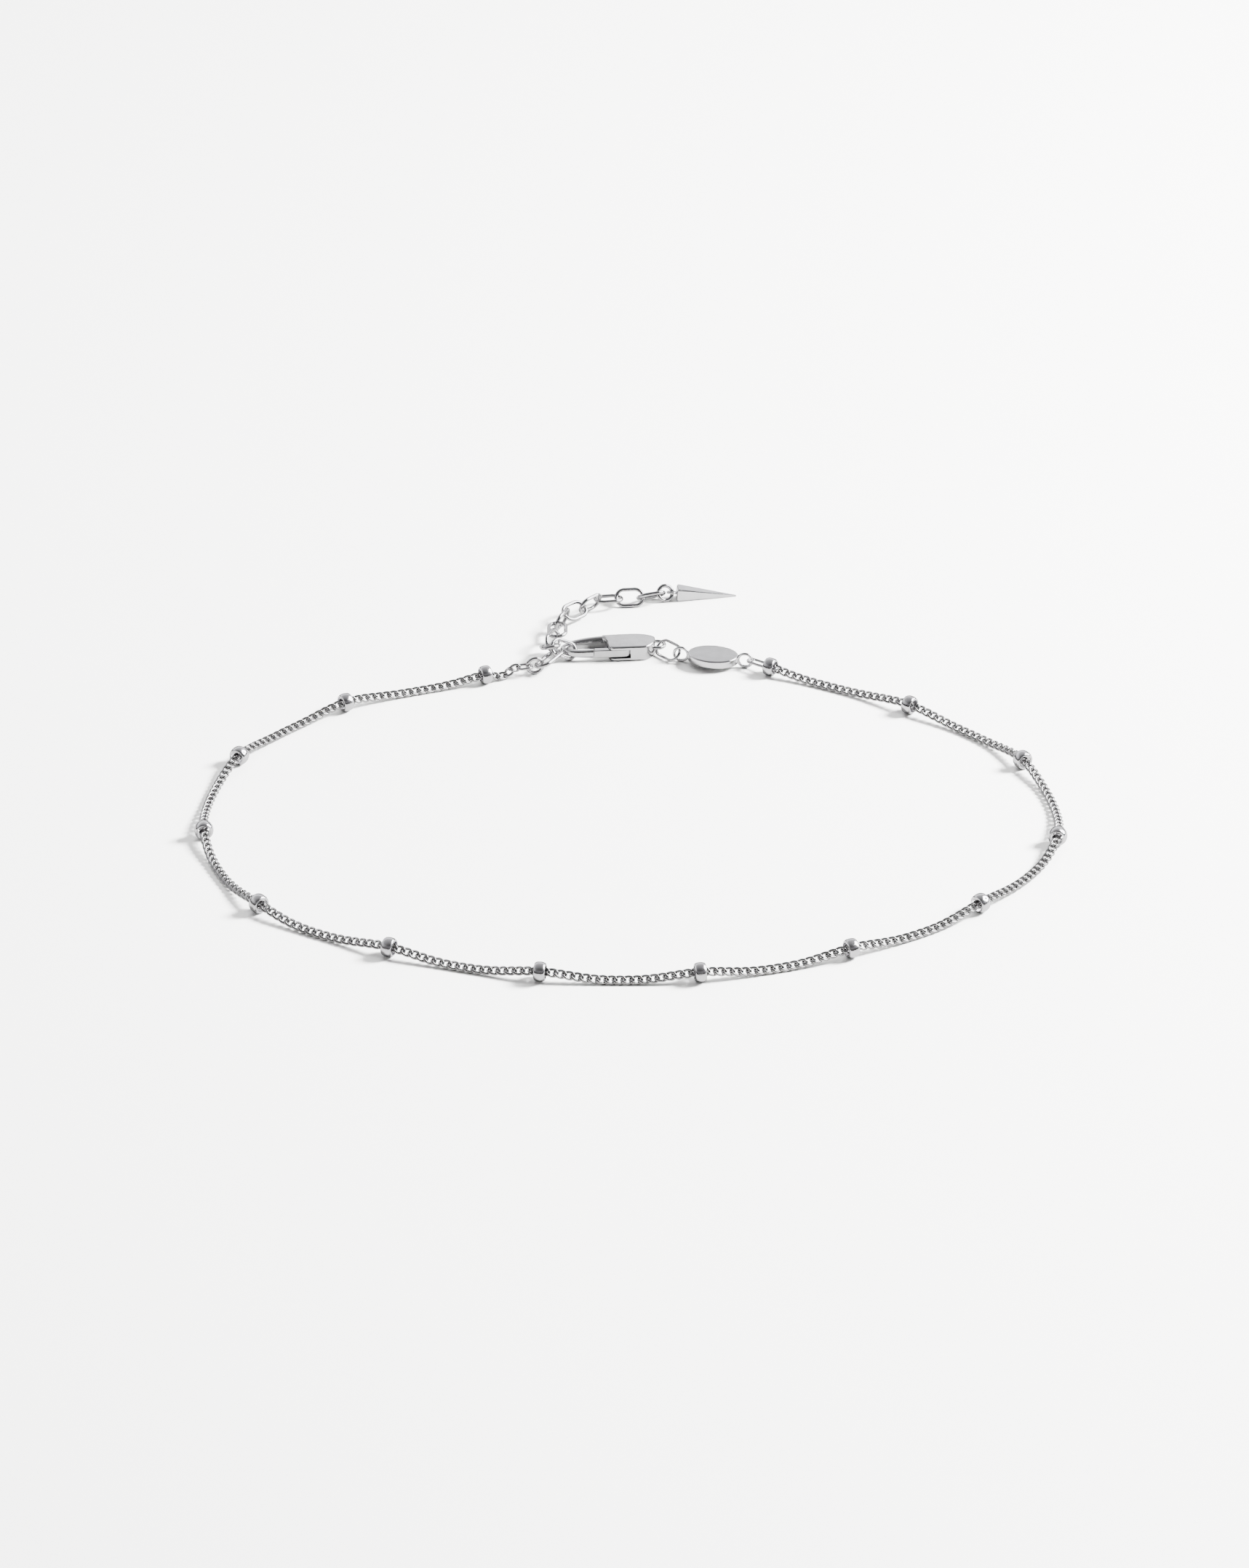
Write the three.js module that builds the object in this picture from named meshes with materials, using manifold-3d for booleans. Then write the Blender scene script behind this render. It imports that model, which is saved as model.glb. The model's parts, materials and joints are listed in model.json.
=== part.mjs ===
// A fine silver chain anklet, fastened and laid on a table in a loose oval.
// Units are millimetres, +Z is up, +X runs along the long way of the oval and the clasp lies at the far side (+Y).
import * as THREE from "three";
import { mergeVertices } from "three/addons/utils/BufferGeometryUtils.js";
import Module from "manifold-3d";

const wasm = await Module();
wasm.setup();

// Curb chain and beads
const CHAIN_WIDTH = 0.95;
const CHAIN_SIDES = 8;
const STEPS_BETWEEN_BEADS = 6;
const BEAD_DIAMETER = 1.85;
const BEAD_WIDTH = 1.06;
const BEAD_SIDES = 16;
const BEAD_SWELL = 0.6; // how square the bead's shoulders are
const LIFT_STEEPNESS = 1.5; // how steeply the chain comes down from a bead
const THREAD_CLEARANCE = 0.16; // round the chain in a bead's hole
const STRETCH_GAP = 0.3; // between two stretches of chain, inside a bead
const PIECE_GAP = 0.14; // between loose pieces that hang in each other

// One bead lies at each of these places, from the end ring round the front to the tag
const BEAD_PLACES = [
  [-13.9, 26.1],
  [-27.6, 20.5],
  [-37.5, 10.0],
  [-40.0, -4.1],
  [-34.0, -17.4],
  [-21.6, -25.0],
  [-7.7, -29.2],
  [6.9, -29.3],
  [20.8, -25.2],
  [33.1, -17.3],
  [41.1, -5.2],
  [38.7, 9.2],
  [28.2, 20.0],
  [14.6, 27.7],
];

// End ring and the chain's last link
const END_RING = { length: 1.95, width: 1.95, wire: 0.35 };
const END_RING_PLACE = { x: -8.96, y: 27.86, heading: 12, roll: 90 };
const END_LINK = { length: 1.75, width: 1.2, wire: 0.26 };
const END_LINK_HEADING = 16;

// Extender chain
const EXTENDER_LINK = { length: 3.15, width: 2.1, wire: 0.38 };
const EXTENDER_SLACK = 0.14; // play along the chain between two links
const FIRST_LINK = { length: 4.0, width: 2.1, wire: 0.4 };
const FIRST_LINK_LIE = { x: -7.57, y: 29.14, z: 1.04, heading: 58, roll: -22, rise: 1.5 };
const HELD_LINK_LIE = { x: -6.13, y: 30.98, z: 1.12, heading: 17.5, roll: 50, rise: -27 };
const THIRD_LINK_LIE = { x: -7.5, y: 31.02, z: 1.43, heading: 95, roll: -6, rise: -25 };
// How each further link lies: the way it points and how far its far side is turned up, in degrees
const EXTENDER_LIE = [
  { heading: 70, roll: 65 },
  { heading: 90, roll: -4 },
  { heading: 66, roll: -76 },
  { heading: 44, roll: 35 },
  { heading: 46, roll: -72 },
  { heading: 18, roll: -8 },
  { heading: 5, roll: 47 },
  { heading: 18, roll: -40 },
];

// Spike drop at the end of the extender
const DROP_RING = { length: 1.9, width: 1.9, wire: 0.4 };
const DROP_RING_LIE = { heading: 20, roll: 62 };
const SPIKE_LENGTH = 6.2;
const SPIKE_BASE = 1.45;
const SPIKE_TIP = 0.14;
const SPIKE_EDGE = 0.14; // rounding at the base
const SPIKE_HEADING = 5;
const BAIL = { length: 1.22, width: 1.22, wire: 0.26 };
const BAIL_ROLL = -20;
const SOLDER_DEPTH = 0.16; // how far a soldered loop goes into its piece

// Trigger clasp
const CLASP_PLACE = { x: -6.49, y: 31.44, heading: 4 };
const CLASP_THICKNESS = 1.64;
const CLASP_WIDTH = 2.9;
const CLASP_BODY_END = 9.6; // from the tip of the nose to the neck at the ring
const CLASP_EDGE = 0.1;
const CHEEK_THICKNESS = 0.33;
const CHEEK_START = 4.3; // where the cheeks begin, at the spine
const CHEEK_FRONT_START = 5.4; // where they reach the straight front
const CHEEK_BOW = 6.8; // where their far side bows out most
const CHEEK_SHOULDER = 8.2; // where the front turns in to the neck
const MOUTH_END = 4.75;
const FRONT_WALL_START = 7.05; // where the front is closed, beside the gate
const HOOK_ROOT_HEIGHT = 1.2;
const HOOK_NOSE_HEIGHT = 0.62;
const HOOK_EDGE = 0.14;
const HOOK_ROOT_WIDTH = 0.64;
const HOOK_TIP_WIDTH = 0.58;
const HOOK_TIP_END = 3.28;
const HOOK_TIP_LINE = -1.0; // the tip's and the gate's distance in front of the middle line
const SPINE_LINE = 1.15; // the spine's distance behind the middle line
// The hook's course, as shares of its tip's end and of the spine's line, then of the tip's line
const HOOK_BACK = [
  [1.65, 0.96],
  [1, 1],
  [0.44, 0.74],
];
const HOOK_FRONT = [
  [0.32, 0.75],
  [0.64, 1],
  [1, 1],
];
const CLASP_RING = { length: 1.8, width: 1.8, wire: 0.37 };
const CLASP_RING_PLACE = [9.85, 0.33];
const GATE_GAP = 0.1;
const GATE_WIDTH = 0.62;
const GATE_EDGE = 0.06;
const GATE_FRONT_END = 6.2; // where the arm's front turns in to the boss
const GATE_BACK_END = 5.2; // where the arm's back widens to the boss
const PIVOT = [7.3, -0.35];
const PIVOT_BOSS = 0.8;
const PIN_DIAMETER = 0.6;
const PIN_CLEARANCE = 0.06;
const PIN_SEAT = 0.16; // depth of the pin in each cheek
const THUMB_TAB_WIDTH = 1.0;
const THUMB_TAB_REACH = 0.25; // past the clasp's far edge
const THUMB_TAB_CORNER = 0.15;
const THUMB_TAB_BEHIND = 0.45; // share of the tab's width on the ring's side of the pin
const TAB_ROOM = 0.4; // behind the boss, for the tab's swing
const TAB_OPENING_FLOOR = 0.75; // the near end of the opening that the tab comes out of

// Oval tag with an ear at each end, and the links that hold it
const TAG_LENGTH = 5.15;
const TAG_WIDTH = 3.5;
const TAG_THICKNESS = 0.85;
const TAG_EDGE = 0.06;
const TAG_PLACE = { x: 8.9, y: 29.8, heading: -11.5 };
const EAR = { length: 1.72, width: 1.72, wire: 0.3 };
const CLASP_LINK = { length: 3.3, width: 2.0, wire: 0.3, roll: 43 };
const TAG_LINK = { length: 3.7, width: 1.05, wire: 0.28 };

const LOOP_STEPS = 14;
const WIRE_SIDES = 6;

const DEG = Math.PI / 180;

function silver(color, roughness) {
  return new THREE.MeshStandardMaterial({ color, metalness: 1, roughness });
}

function named(name, geometry, material) {
  const mesh = new THREE.Mesh(geometry, material);
  mesh.name = name;
  return mesh;
}

// A geometry with only positions, its shared vertices merged
function welded(geometry) {
  const bare = geometry.clone();
  bare.deleteAttribute("normal");
  bare.deleteAttribute("uv");
  return mergeVertices(bare, 1e-4);
}

function toSolid(geometry) {
  const closed = welded(geometry);
  return new wasm.Manifold(
    new wasm.Mesh({
      numProp: 3,
      vertProperties: new Float32Array(closed.attributes.position.array),
      triVerts: new Uint32Array(closed.index.array),
    }),
  );
}

function toGeometry(solid) {
  const mesh = solid.getMesh();
  const geometry = new THREE.BufferGeometry();
  geometry.setAttribute("position", new THREE.BufferAttribute(mesh.vertProperties, 3));
  geometry.setIndex(new THREE.BufferAttribute(mesh.triVerts, 1));
  geometry.computeVertexNormals();
  return geometry;
}

// A loop of round wire in the XY plane, its long way along X: two half circles, with straight sides where it is long
function wireLoop({ length, width, wire }) {
  const bend = (width - wire) / 2;
  const straight = (length - width) / 2;
  const ring = new THREE.TorusGeometry(bend, wire / 2, WIRE_SIDES, LOOP_STEPS);
  const point = ring.attributes.position;
  for (let i = 0; i < point.count; i++) {
    point.setX(i, point.getX(i) + Math.sign(point.getX(i)) * straight);
  }
  return welded(ring);
}

// Turns a piece so that its long way points along heading, rises by rise and its far side is turned up by roll
function lay(piece, { x, y, z, heading = 0, roll = 0, rise = 0 }) {
  piece.position.set(x, y, z);
  piece.rotation.set(roll * DEG, -rise * DEG, heading * DEG, "ZYX");
  return piece;
}

// The height at which a loop turned by roll lies on the surface
function restHeight({ width, wire }, roll) {
  return ((width - wire) / 2) * Math.abs(Math.sin(roll * DEG)) + wire / 2;
}

// The heading and the rise of a line, in degrees
function bearing({ x, y, z }) {
  return { heading: Math.atan2(y, x) / DEG, rise: Math.atan2(z, Math.hypot(x, y)) / DEG };
}

function direction(heading) {
  return new THREE.Vector3(Math.cos(heading * DEG), Math.sin(heading * DEG), 0);
}

const beadHeight = BEAD_DIAMETER / 2;
const chainHeight = CHAIN_WIDTH / 2;
const holeDiameter = CHAIN_WIDTH + 2 * THREAD_CLEARANCE;
const slotHeight = CLASP_THICKNESS - 2 * CHEEK_THICKNESS;
const gateHeight = slotHeight - 2 * PIN_CLEARANCE;

// The end ring stands on its edge, and the chain's last link hangs in its near side
const endRingHeight = restHeight(END_RING, END_RING_PLACE.roll);
const endRing = new THREE.Vector3(END_RING_PLACE.x, END_RING_PLACE.y, endRingHeight);
const endLinkReach = (END_LINK.length - END_LINK.wire) / 2;
const endRingRadius = (END_RING.length - END_RING.wire) / 2;
const endLink = endRing
  .clone()
  .addScaledVector(direction(END_RING_PLACE.heading), -endRingRadius)
  .addScaledVector(direction(END_LINK_HEADING), (END_RING.wire + END_LINK.wire) / 2 + PIECE_GAP - endLinkReach);
const chainStart = endLink
  .clone()
  .addScaledVector(direction(END_LINK_HEADING), -END_LINK.length / 2 - PIECE_GAP);

// The last bead sits on the long link that hangs in the tag's ear
const tagHeight = restHeight(EAR, 90);
const earDistance = TAG_LENGTH / 2 + EAR.length / 2 - SOLDER_DEPTH;
const tagPlace = new THREE.Vector3(TAG_PLACE.x, TAG_PLACE.y, tagHeight);
const nearEar = tagPlace.clone().addScaledVector(direction(TAG_PLACE.heading), -earDistance);
const farEar = tagPlace.clone().addScaledVector(direction(TAG_PLACE.heading), earDistance);

const earRadius = (EAR.length - EAR.wire) / 2;
const nearEarWire = nearEar.clone().addScaledVector(direction(TAG_PLACE.heading), -earRadius);
const farEarWire = farEar.clone().addScaledVector(direction(TAG_PLACE.heading), earRadius);
const lastBead = new THREE.Vector3(...BEAD_PLACES.at(-1), beadHeight);
const tagLinkLine = lastBead.clone().sub(farEarWire).normalize();
const tagLinkCentre = farEarWire
  .clone()
  .addScaledVector(tagLinkLine, TAG_LINK.length / 2 - TAG_LINK.wire - EAR.wire / 2 - PIECE_GAP);
const chainEnd = tagLinkCentre.clone().addScaledVector(tagLinkLine, TAG_LINK.length / 2 + PIECE_GAP);

// The chain's route in plan goes through every bead
const route = new THREE.CatmullRomCurve3(
  [
    new THREE.Vector3(chainStart.x, chainStart.y, 0),
    ...BEAD_PLACES.map(([x, y]) => new THREE.Vector3(x, y, 0)),
    new THREE.Vector3(farEar.x, farEar.y, 0),
  ],
  false,
  "centripetal",
);
const routeSpans = BEAD_PLACES.length + 1;

// A stretch of chain from one place on the route to another. It leaves each bead level and sags to the surface.
class ChainStretch extends THREE.Curve {
  constructor({ from, to, startHeight, endHeight }) {
    super();
    Object.assign(this, { from, to, startHeight, endHeight });
  }

  getPoint(share, target = new THREE.Vector3()) {
    route.getPoint(THREE.MathUtils.lerp(this.from, this.to, share) / routeSpans, target);
    const lift = ((1 + Math.cos(2 * Math.PI * share)) / 2) ** LIFT_STEEPNESS;
    const end = THREE.MathUtils.lerp(this.startHeight, this.endHeight, share);
    target.z = THREE.MathUtils.lerp(chainHeight, end, lift);
    return target;
  }
}

function chainSection() {
  const corners = [];
  for (let i = 0; i < CHAIN_SIDES; i++) {
    const angle = ((i + 0.5) / CHAIN_SIDES) * 2 * Math.PI;
    corners.push(new THREE.Vector2(Math.cos(angle), Math.sin(angle)).multiplyScalar(CHAIN_WIDTH / 2));
  }
  return new THREE.Shape(corners);
}

// Where on the route, in spans, a point lies that is a distance along it from a bead
function besideBead(index, distance) {
  const bead = index + 1;
  const place = route.getPoint(bead / routeSpans);
  const next = distance > 0 ? bead + 1 : bead - 1;
  const span = place.distanceTo(route.getPoint(next / routeSpans));
  let at = bead;
  for (let round = 0; round < 6; round++) {
    const gone = Math.sign(distance) * place.distanceTo(route.getPoint(at / routeSpans));
    at += (distance - gone) / span;
  }
  return at;
}

function addChain(group) {
  const material = silver(0xd9d9dc, 0.25);
  const count = BEAD_PLACES.length;
  const last = lastBead.distanceTo(chainEnd);
  for (let i = 0; i < count; i++) {
    const first = i === 0;
    const path = new ChainStretch({
      from: first ? 0 : besideBead(i - 1, STRETCH_GAP / 2),
      to: i === count - 1 ? besideBead(i, -last) : besideBead(i, -STRETCH_GAP / 2),
      startHeight: first ? endRingHeight : beadHeight,
      endHeight: beadHeight,
    });
    const tube = new THREE.ExtrudeGeometry(chainSection(), {
      steps: first ? 2 : STEPS_BETWEEN_BEADS,
      extrudePath: path,
      bevelEnabled: false,
    });
    group.add(named(`chain_${String(i + 1).padStart(2, "0")}`, welded(tube), material.clone()));
  }
}

// A round bead with softly rounded shoulders, its hole along X
function beadGeometry() {
  const outer = BEAD_DIAMETER / 2;
  const inner = holeDiameter / 2;
  const half = BEAD_WIDTH / 2;
  const profile = [new THREE.Vector2(inner, -half)];
  const shoulders = 7;
  for (let i = 0; i < shoulders; i++) {
    const angle = THREE.MathUtils.lerp(-80, 80, i / (shoulders - 1)) * DEG;
    const swell = Math.cos(angle) ** BEAD_SWELL;
    profile.push(new THREE.Vector2(THREE.MathUtils.lerp(inner, outer, swell), half * Math.sin(angle)));
  }
  profile.push(new THREE.Vector2(inner, half));
  profile.push(profile[0].clone());
  return welded(new THREE.LatheGeometry(profile, BEAD_SIDES).rotateZ(-Math.PI / 2));
}

function addBeads(group) {
  const material = silver(0xdcdcde, 0.12);
  BEAD_PLACES.forEach(([x, y], i) => {
    const along = route.getTangent((i + 1) / routeSpans);
    const heading = Math.atan2(along.y, along.x) / DEG;
    const bead = named(`bead_${String(i + 1).padStart(2, "0")}`, beadGeometry(), material.clone());
    group.add(lay(bead, { x, y, z: beadHeight, heading }));
  });
}

function addEndRing(group) {
  const ring = named("end_ring", wireLoop(END_RING), silver(0xd2d2d6, 0.15));
  group.add(lay(ring, { ...END_RING_PLACE, z: endRingHeight }));
  const link = named("chain_end_link", wireLoop(END_LINK), silver(0xd9d9dc, 0.2));
  group.add(lay(link, { x: endLink.x, y: endLink.y, z: endRingHeight, heading: END_LINK_HEADING }));
}

function addExtender(group) {
  const material = silver(0xd2d2d6, 0.15);
  const pitch = EXTENDER_LINK.length - 2 * EXTENDER_LINK.wire - EXTENDER_SLACK;
  const addLink = (number, size, place) => {
    const name = `extender_link_${String(number).padStart(2, "0")}`;
    group.add(lay(named(name, wireLoop(size), material.clone()), place));
  };
  addLink(1, FIRST_LINK, FIRST_LINK_LIE);
  addLink(2, EXTENDER_LINK, HELD_LINK_LIE);
  addLink(3, EXTENDER_LINK, THIRD_LINK_LIE);

  const heights = EXTENDER_LIE.map(({ roll }) => restHeight(EXTENDER_LINK, roll));
  heights.push(restHeight(DROP_RING, DROP_RING_LIE.roll));
  const third = lay(new THREE.Object3D(), THIRD_LINK_LIE);
  third.updateMatrixWorld();
  const joint = third.localToWorld(new THREE.Vector3(pitch / 2, 0, 0));
  EXTENDER_LIE.forEach(({ heading, roll }, i) => {
    const nextHeight = Math.max(heights[i], heights[i + 1]);
    const climb = nextHeight - joint.z;
    const next = joint.clone().addScaledVector(direction(heading), Math.sqrt(pitch ** 2 - climb ** 2));
    next.z = nextHeight;
    const { x, y, z } = joint.clone().lerp(next, 0.5);
    addLink(i + 4, EXTENDER_LINK, { x, y, z, heading, roll, rise: Math.asin(climb / pitch) / DEG });
    joint.copy(next);
  });
  return joint;
}

// A four-sided spike that lies on one of its faces, with a wire bail soldered to its base
function spikeGeometry() {
  const corner = Math.SQRT2 / 2;
  const profile = [
    new THREE.Vector2(0, 0),
    new THREE.Vector2((SPIKE_BASE - 2 * SPIKE_EDGE) * corner, 0),
    new THREE.Vector2((SPIKE_BASE - SPIKE_EDGE / 2) * corner, SPIKE_EDGE / 2),
    new THREE.Vector2(SPIKE_BASE * corner, 1.5 * SPIKE_EDGE),
    new THREE.Vector2(SPIKE_TIP * corner, SPIKE_LENGTH - SPIKE_TIP / 2),
    new THREE.Vector2(0, SPIKE_LENGTH),
  ];
  const spike = new THREE.LatheGeometry(profile, 4).rotateY(Math.PI / 4).rotateZ(-Math.PI / 2);
  const bail = wireLoop(BAIL)
    .rotateX(BAIL_ROLL * DEG)
    .translate(SOLDER_DEPTH - BAIL.length / 2, 0, 0);
  return toGeometry(toSolid(spike).add(toSolid(bail)));
}

function addDrop(group, joint) {
  const lastHeading = EXTENDER_LIE.at(-1).heading;
  const ringRadius = (DROP_RING.length - DROP_RING.wire) / 2;
  const ringCentre = joint.clone().addScaledVector(direction(lastHeading), ringRadius - DROP_RING.wire / 2 - PIECE_GAP);
  ringCentre.z = restHeight(DROP_RING, DROP_RING_LIE.roll);
  const ring = named("drop_ring", wireLoop(DROP_RING), silver(0xd2d2d6, 0.15));
  group.add(lay(ring, { x: ringCentre.x, y: ringCentre.y, z: ringCentre.z, ...DROP_RING_LIE }));

  const taper = Math.atan2((SPIKE_BASE - SPIKE_TIP) / 2, SPIKE_LENGTH) / DEG;
  const bailInRing = DROP_RING.wire / 2 + BAIL.wire + PIECE_GAP;
  const base = ringCentre
    .clone()
    .addScaledVector(direction(DROP_RING_LIE.heading), ringRadius)
    .addScaledVector(direction(SPIKE_HEADING), BAIL.length - SOLDER_DEPTH - bailInRing);
  const spike = named("spike_drop", spikeGeometry(), silver(0xd0d0d4, 0.15));
  lay(spike, { x: base.x, y: base.y, z: 0, heading: SPIKE_HEADING, rise: -taper });
  spike.position.z = -new THREE.Box3().setFromObject(spike, true).min.z;
  group.add(spike);
}

// A flat piece cut out in plan, of a given height, centred on z = 0, its edges rounded by edge
function plate(shape, height, edge) {
  const geometry = new THREE.ExtrudeGeometry(shape, {
    depth: height - 2 * edge,
    steps: 1,
    curveSegments: 8,
    bevelEnabled: edge > 0,
    bevelThickness: edge,
    bevelSize: edge,
    bevelOffset: -edge,
    bevelSegments: 2,
  });
  return toSolid(geometry.translate(0, 0, edge - height / 2));
}

function cylinder(radius, height, [x, y], z = 0) {
  const geometry = new THREE.CylinderGeometry(radius, radius, height, 16);
  return toSolid(geometry.rotateX(Math.PI / 2).translate(x, y, z));
}

// The hook: a bar that leaves the body as the spine, thins towards the nose, turns round it and ends at the tip
function hookGeometry() {
  const line = new THREE.SplineCurve([
    ...HOOK_BACK.map(([x, y]) => new THREE.Vector2(x * HOOK_TIP_END, y * SPINE_LINE)),
    new THREE.Vector2(HOOK_ROOT_WIDTH / 2, 0),
    ...HOOK_FRONT.map(([x, y]) => new THREE.Vector2(x * HOOK_TIP_END, y * HOOK_TIP_LINE)),
  ]);
  const steps = 22;
  const points = [];
  for (let i = 0; i <= steps; i++) {
    const share = i / steps;
    const at = line.getPoint(share);
    const along = line.getTangent(share);
    const half = THREE.MathUtils.lerp(HOOK_ROOT_WIDTH, HOOK_TIP_WIDTH, share) / 2;
    const endHeight = share < 0.5 ? HOOK_ROOT_HEIGHT : gateHeight;
    const tall = THREE.MathUtils.lerp(HOOK_NOSE_HEIGHT, endHeight, Math.abs(2 * share - 1)) / 2;
    for (const [across, up] of roundedSection(half, tall, HOOK_EDGE)) {
      points.push(at.x + along.y * across, at.y - along.x * across, up);
    }
  }
  return barGeometry(points, steps);
}

// The corners of a bar's section with its edges cut off, given half its width and half its height
function roundedSection(half, tall, edge) {
  const corners = [
    [half - edge, tall],
    [half, tall - edge],
  ];
  const right = [...corners, ...corners.map(([x, y]) => [x, -y]).reverse()];
  return [...right, ...right.map(([x, y]) => [-x, -y])];
}

// A closed bar through sections of eight corners each
function barGeometry(points, steps) {
  const sides = 8;
  const faces = [];
  for (let i = 0; i < steps; i++) {
    for (let side = 0; side < sides; side++) {
      const near = i * sides + side;
      const next = i * sides + ((side + 1) % sides);
      faces.push(near, next, next + sides, near, next + sides, near + sides);
    }
  }
  const last = steps * sides;
  for (let side = 1; side < sides - 1; side++) {
    faces.push(0, side + 1, side);
    faces.push(last, last + side, last + side + 1);
  }
  const geometry = new THREE.BufferGeometry();
  geometry.setAttribute("position", new THREE.BufferAttribute(new Float32Array(points), 3));
  geometry.setIndex(faces);
  return geometry;
}

// The two cheeks and the neck in plan: straight in front, bowed at the far side
function bodyShape() {
  const half = CLASP_WIDTH / 2;
  const spineOuter = SPINE_LINE + HOOK_ROOT_WIDTH / 2 - CLASP_EDGE;
  const spineInner = SPINE_LINE - HOOK_ROOT_WIDTH / 2 + CLASP_EDGE;
  const [, ringLine] = CLASP_RING_PLACE;
  const neck = CLASP_RING.wire;
  const shape = new THREE.Shape();
  shape.moveTo(CHEEK_FRONT_START, -half);
  shape.lineTo(CHEEK_SHOULDER, -half);
  shape.quadraticCurveTo((CHEEK_SHOULDER + 2 * CLASP_BODY_END) / 3, -half, CLASP_BODY_END, ringLine - neck);
  shape.lineTo(CLASP_BODY_END, ringLine + neck);
  shape.quadraticCurveTo((CHEEK_BOW + 2 * CLASP_BODY_END) / 3, half + CLASP_EDGE, CHEEK_BOW, half);
  shape.lineTo(CHEEK_START, spineOuter);
  shape.lineTo(CHEEK_START, spineInner);
  shape.quadraticCurveTo(MOUTH_END, spineInner - HOOK_ROOT_WIDTH / 2, MOUTH_END, 0);
  shape.quadraticCurveTo(MOUTH_END, -half, CHEEK_FRONT_START, -half);
  return shape;
}

// Room between the cheeks for the gate: the arm's, open in front, the boss's, and the tab's, open at the far side
function slotSolid(height) {
  const [pivotX, pivotY] = PIVOT;
  const beyond = CLASP_WIDTH;
  const room = (left, right, near, far) => {
    const shape = new THREE.Shape();
    shape.moveTo(left, near);
    shape.lineTo(right, near);
    shape.lineTo(right, far);
    shape.lineTo(left, far);
    return plate(shape, height, 0);
  };
  const arm = room(CHEEK_START - GATE_GAP, FRONT_WALL_START, -beyond, TAB_OPENING_FLOOR);
  const tab = room(pivotX - THUMB_TAB_WIDTH, pivotX + PIVOT_BOSS + TAB_ROOM, pivotY, beyond);
  return arm.add(tab).add(cylinder(PIVOT_BOSS + GATE_GAP, height, PIVOT));
}

function claspBodyGeometry() {
  const ring = wireLoop(CLASP_RING).translate(...CLASP_RING_PLACE, 0);
  const pinHole = cylinder(PIN_DIAMETER / 2 + PIN_CLEARANCE, slotHeight + 2 * PIN_SEAT + 2 * PIN_CLEARANCE, PIVOT);
  const cheeks = plate(bodyShape(), CLASP_THICKNESS, CLASP_EDGE).subtract(slotSolid(slotHeight));
  return toGeometry(cheeks.add(toSolid(hookGeometry())).add(toSolid(ring)).subtract(pinHole));
}

// The gate in plan: a straight arm along the front, a round boss on the pin and a thumb tab at the far side
function gateShape() {
  const [pivotX, pivotY] = PIVOT;
  const front = HOOK_TIP_LINE - GATE_WIDTH / 2;
  const back = HOOK_TIP_LINE + GATE_WIDTH / 2;
  const tip = HOOK_TIP_END + GATE_GAP;
  const tabEnd = CLASP_WIDTH / 2 + THUMB_TAB_REACH;
  const tabSide = THUMB_TAB_WIDTH * THUMB_TAB_BEHIND;
  const tabRight = pivotX + tabSide;
  const tabLeft = tabRight - THUMB_TAB_WIDTH;
  const bossStart = -110 * DEG;
  const bossX = pivotX + PIVOT_BOSS * Math.cos(bossStart);
  const bossY = pivotY + PIVOT_BOSS * Math.sin(bossStart);
  const shape = new THREE.Shape();
  shape.moveTo(tip, front);
  shape.lineTo(GATE_FRONT_END, front);
  shape.quadraticCurveTo((GATE_FRONT_END + 2 * bossX) / 3, front, bossX, bossY);
  shape.absarc(pivotX, pivotY, PIVOT_BOSS, bossStart, Math.acos(tabSide / PIVOT_BOSS));
  shape.lineTo(tabRight, tabEnd - THUMB_TAB_CORNER);
  shape.quadraticCurveTo(tabRight, tabEnd, tabRight - THUMB_TAB_CORNER, tabEnd);
  shape.lineTo(tabLeft + THUMB_TAB_CORNER, tabEnd);
  shape.quadraticCurveTo(tabLeft, tabEnd, tabLeft, tabEnd - THUMB_TAB_CORNER);
  shape.lineTo(tabLeft, pivotY + PIVOT_BOSS);
  shape.quadraticCurveTo(pivotX - PIVOT_BOSS, pivotY, GATE_BACK_END, back);
  shape.lineTo(tip, back);
  return shape;
}

function gateGeometry() {
  const hole = cylinder(PIN_DIAMETER / 2 + PIN_CLEARANCE, CLASP_THICKNESS, PIVOT);
  return toGeometry(plate(gateShape(), gateHeight, GATE_EDGE).subtract(hole));
}

function pinGeometry() {
  const length = slotHeight + 2 * PIN_SEAT;
  const [x, y] = PIVOT;
  const pin = new THREE.CylinderGeometry(PIN_DIAMETER / 2, PIN_DIAMETER / 2, length, 16);
  return welded(pin.rotateX(Math.PI / 2).translate(x, y, 0));
}

function addClasp(group) {
  const clasp = new THREE.Group();
  lay(clasp, { ...CLASP_PLACE, z: CLASP_THICKNESS / 2 });
  clasp.add(named("clasp_body", claspBodyGeometry(), silver(0xcfcfd3, 0.15)));
  clasp.add(named("clasp_gate", gateGeometry(), silver(0xd6d6da, 0.15)));
  clasp.add(named("clasp_pin", pinGeometry(), silver(0xc8c8cc, 0.3)));
  group.add(clasp);
}

// The flat oval tag, its two wire ears standing upright
function tagGeometry() {
  const outline = new THREE.Shape();
  outline.absellipse(0, 0, TAG_LENGTH / 2, TAG_WIDTH / 2, 0, 2 * Math.PI);
  const plateSolid = plate(new THREE.Shape(outline.getPoints(32).slice(0, -1)), TAG_THICKNESS, TAG_EDGE);
  const ear = wireLoop(EAR).rotateX(Math.PI / 2);
  const near = toSolid(ear.clone().translate(-earDistance, 0, 0));
  const far = toSolid(ear.clone().translate(earDistance, 0, 0));
  return toGeometry(plateSolid.add(near).add(far));
}

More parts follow.
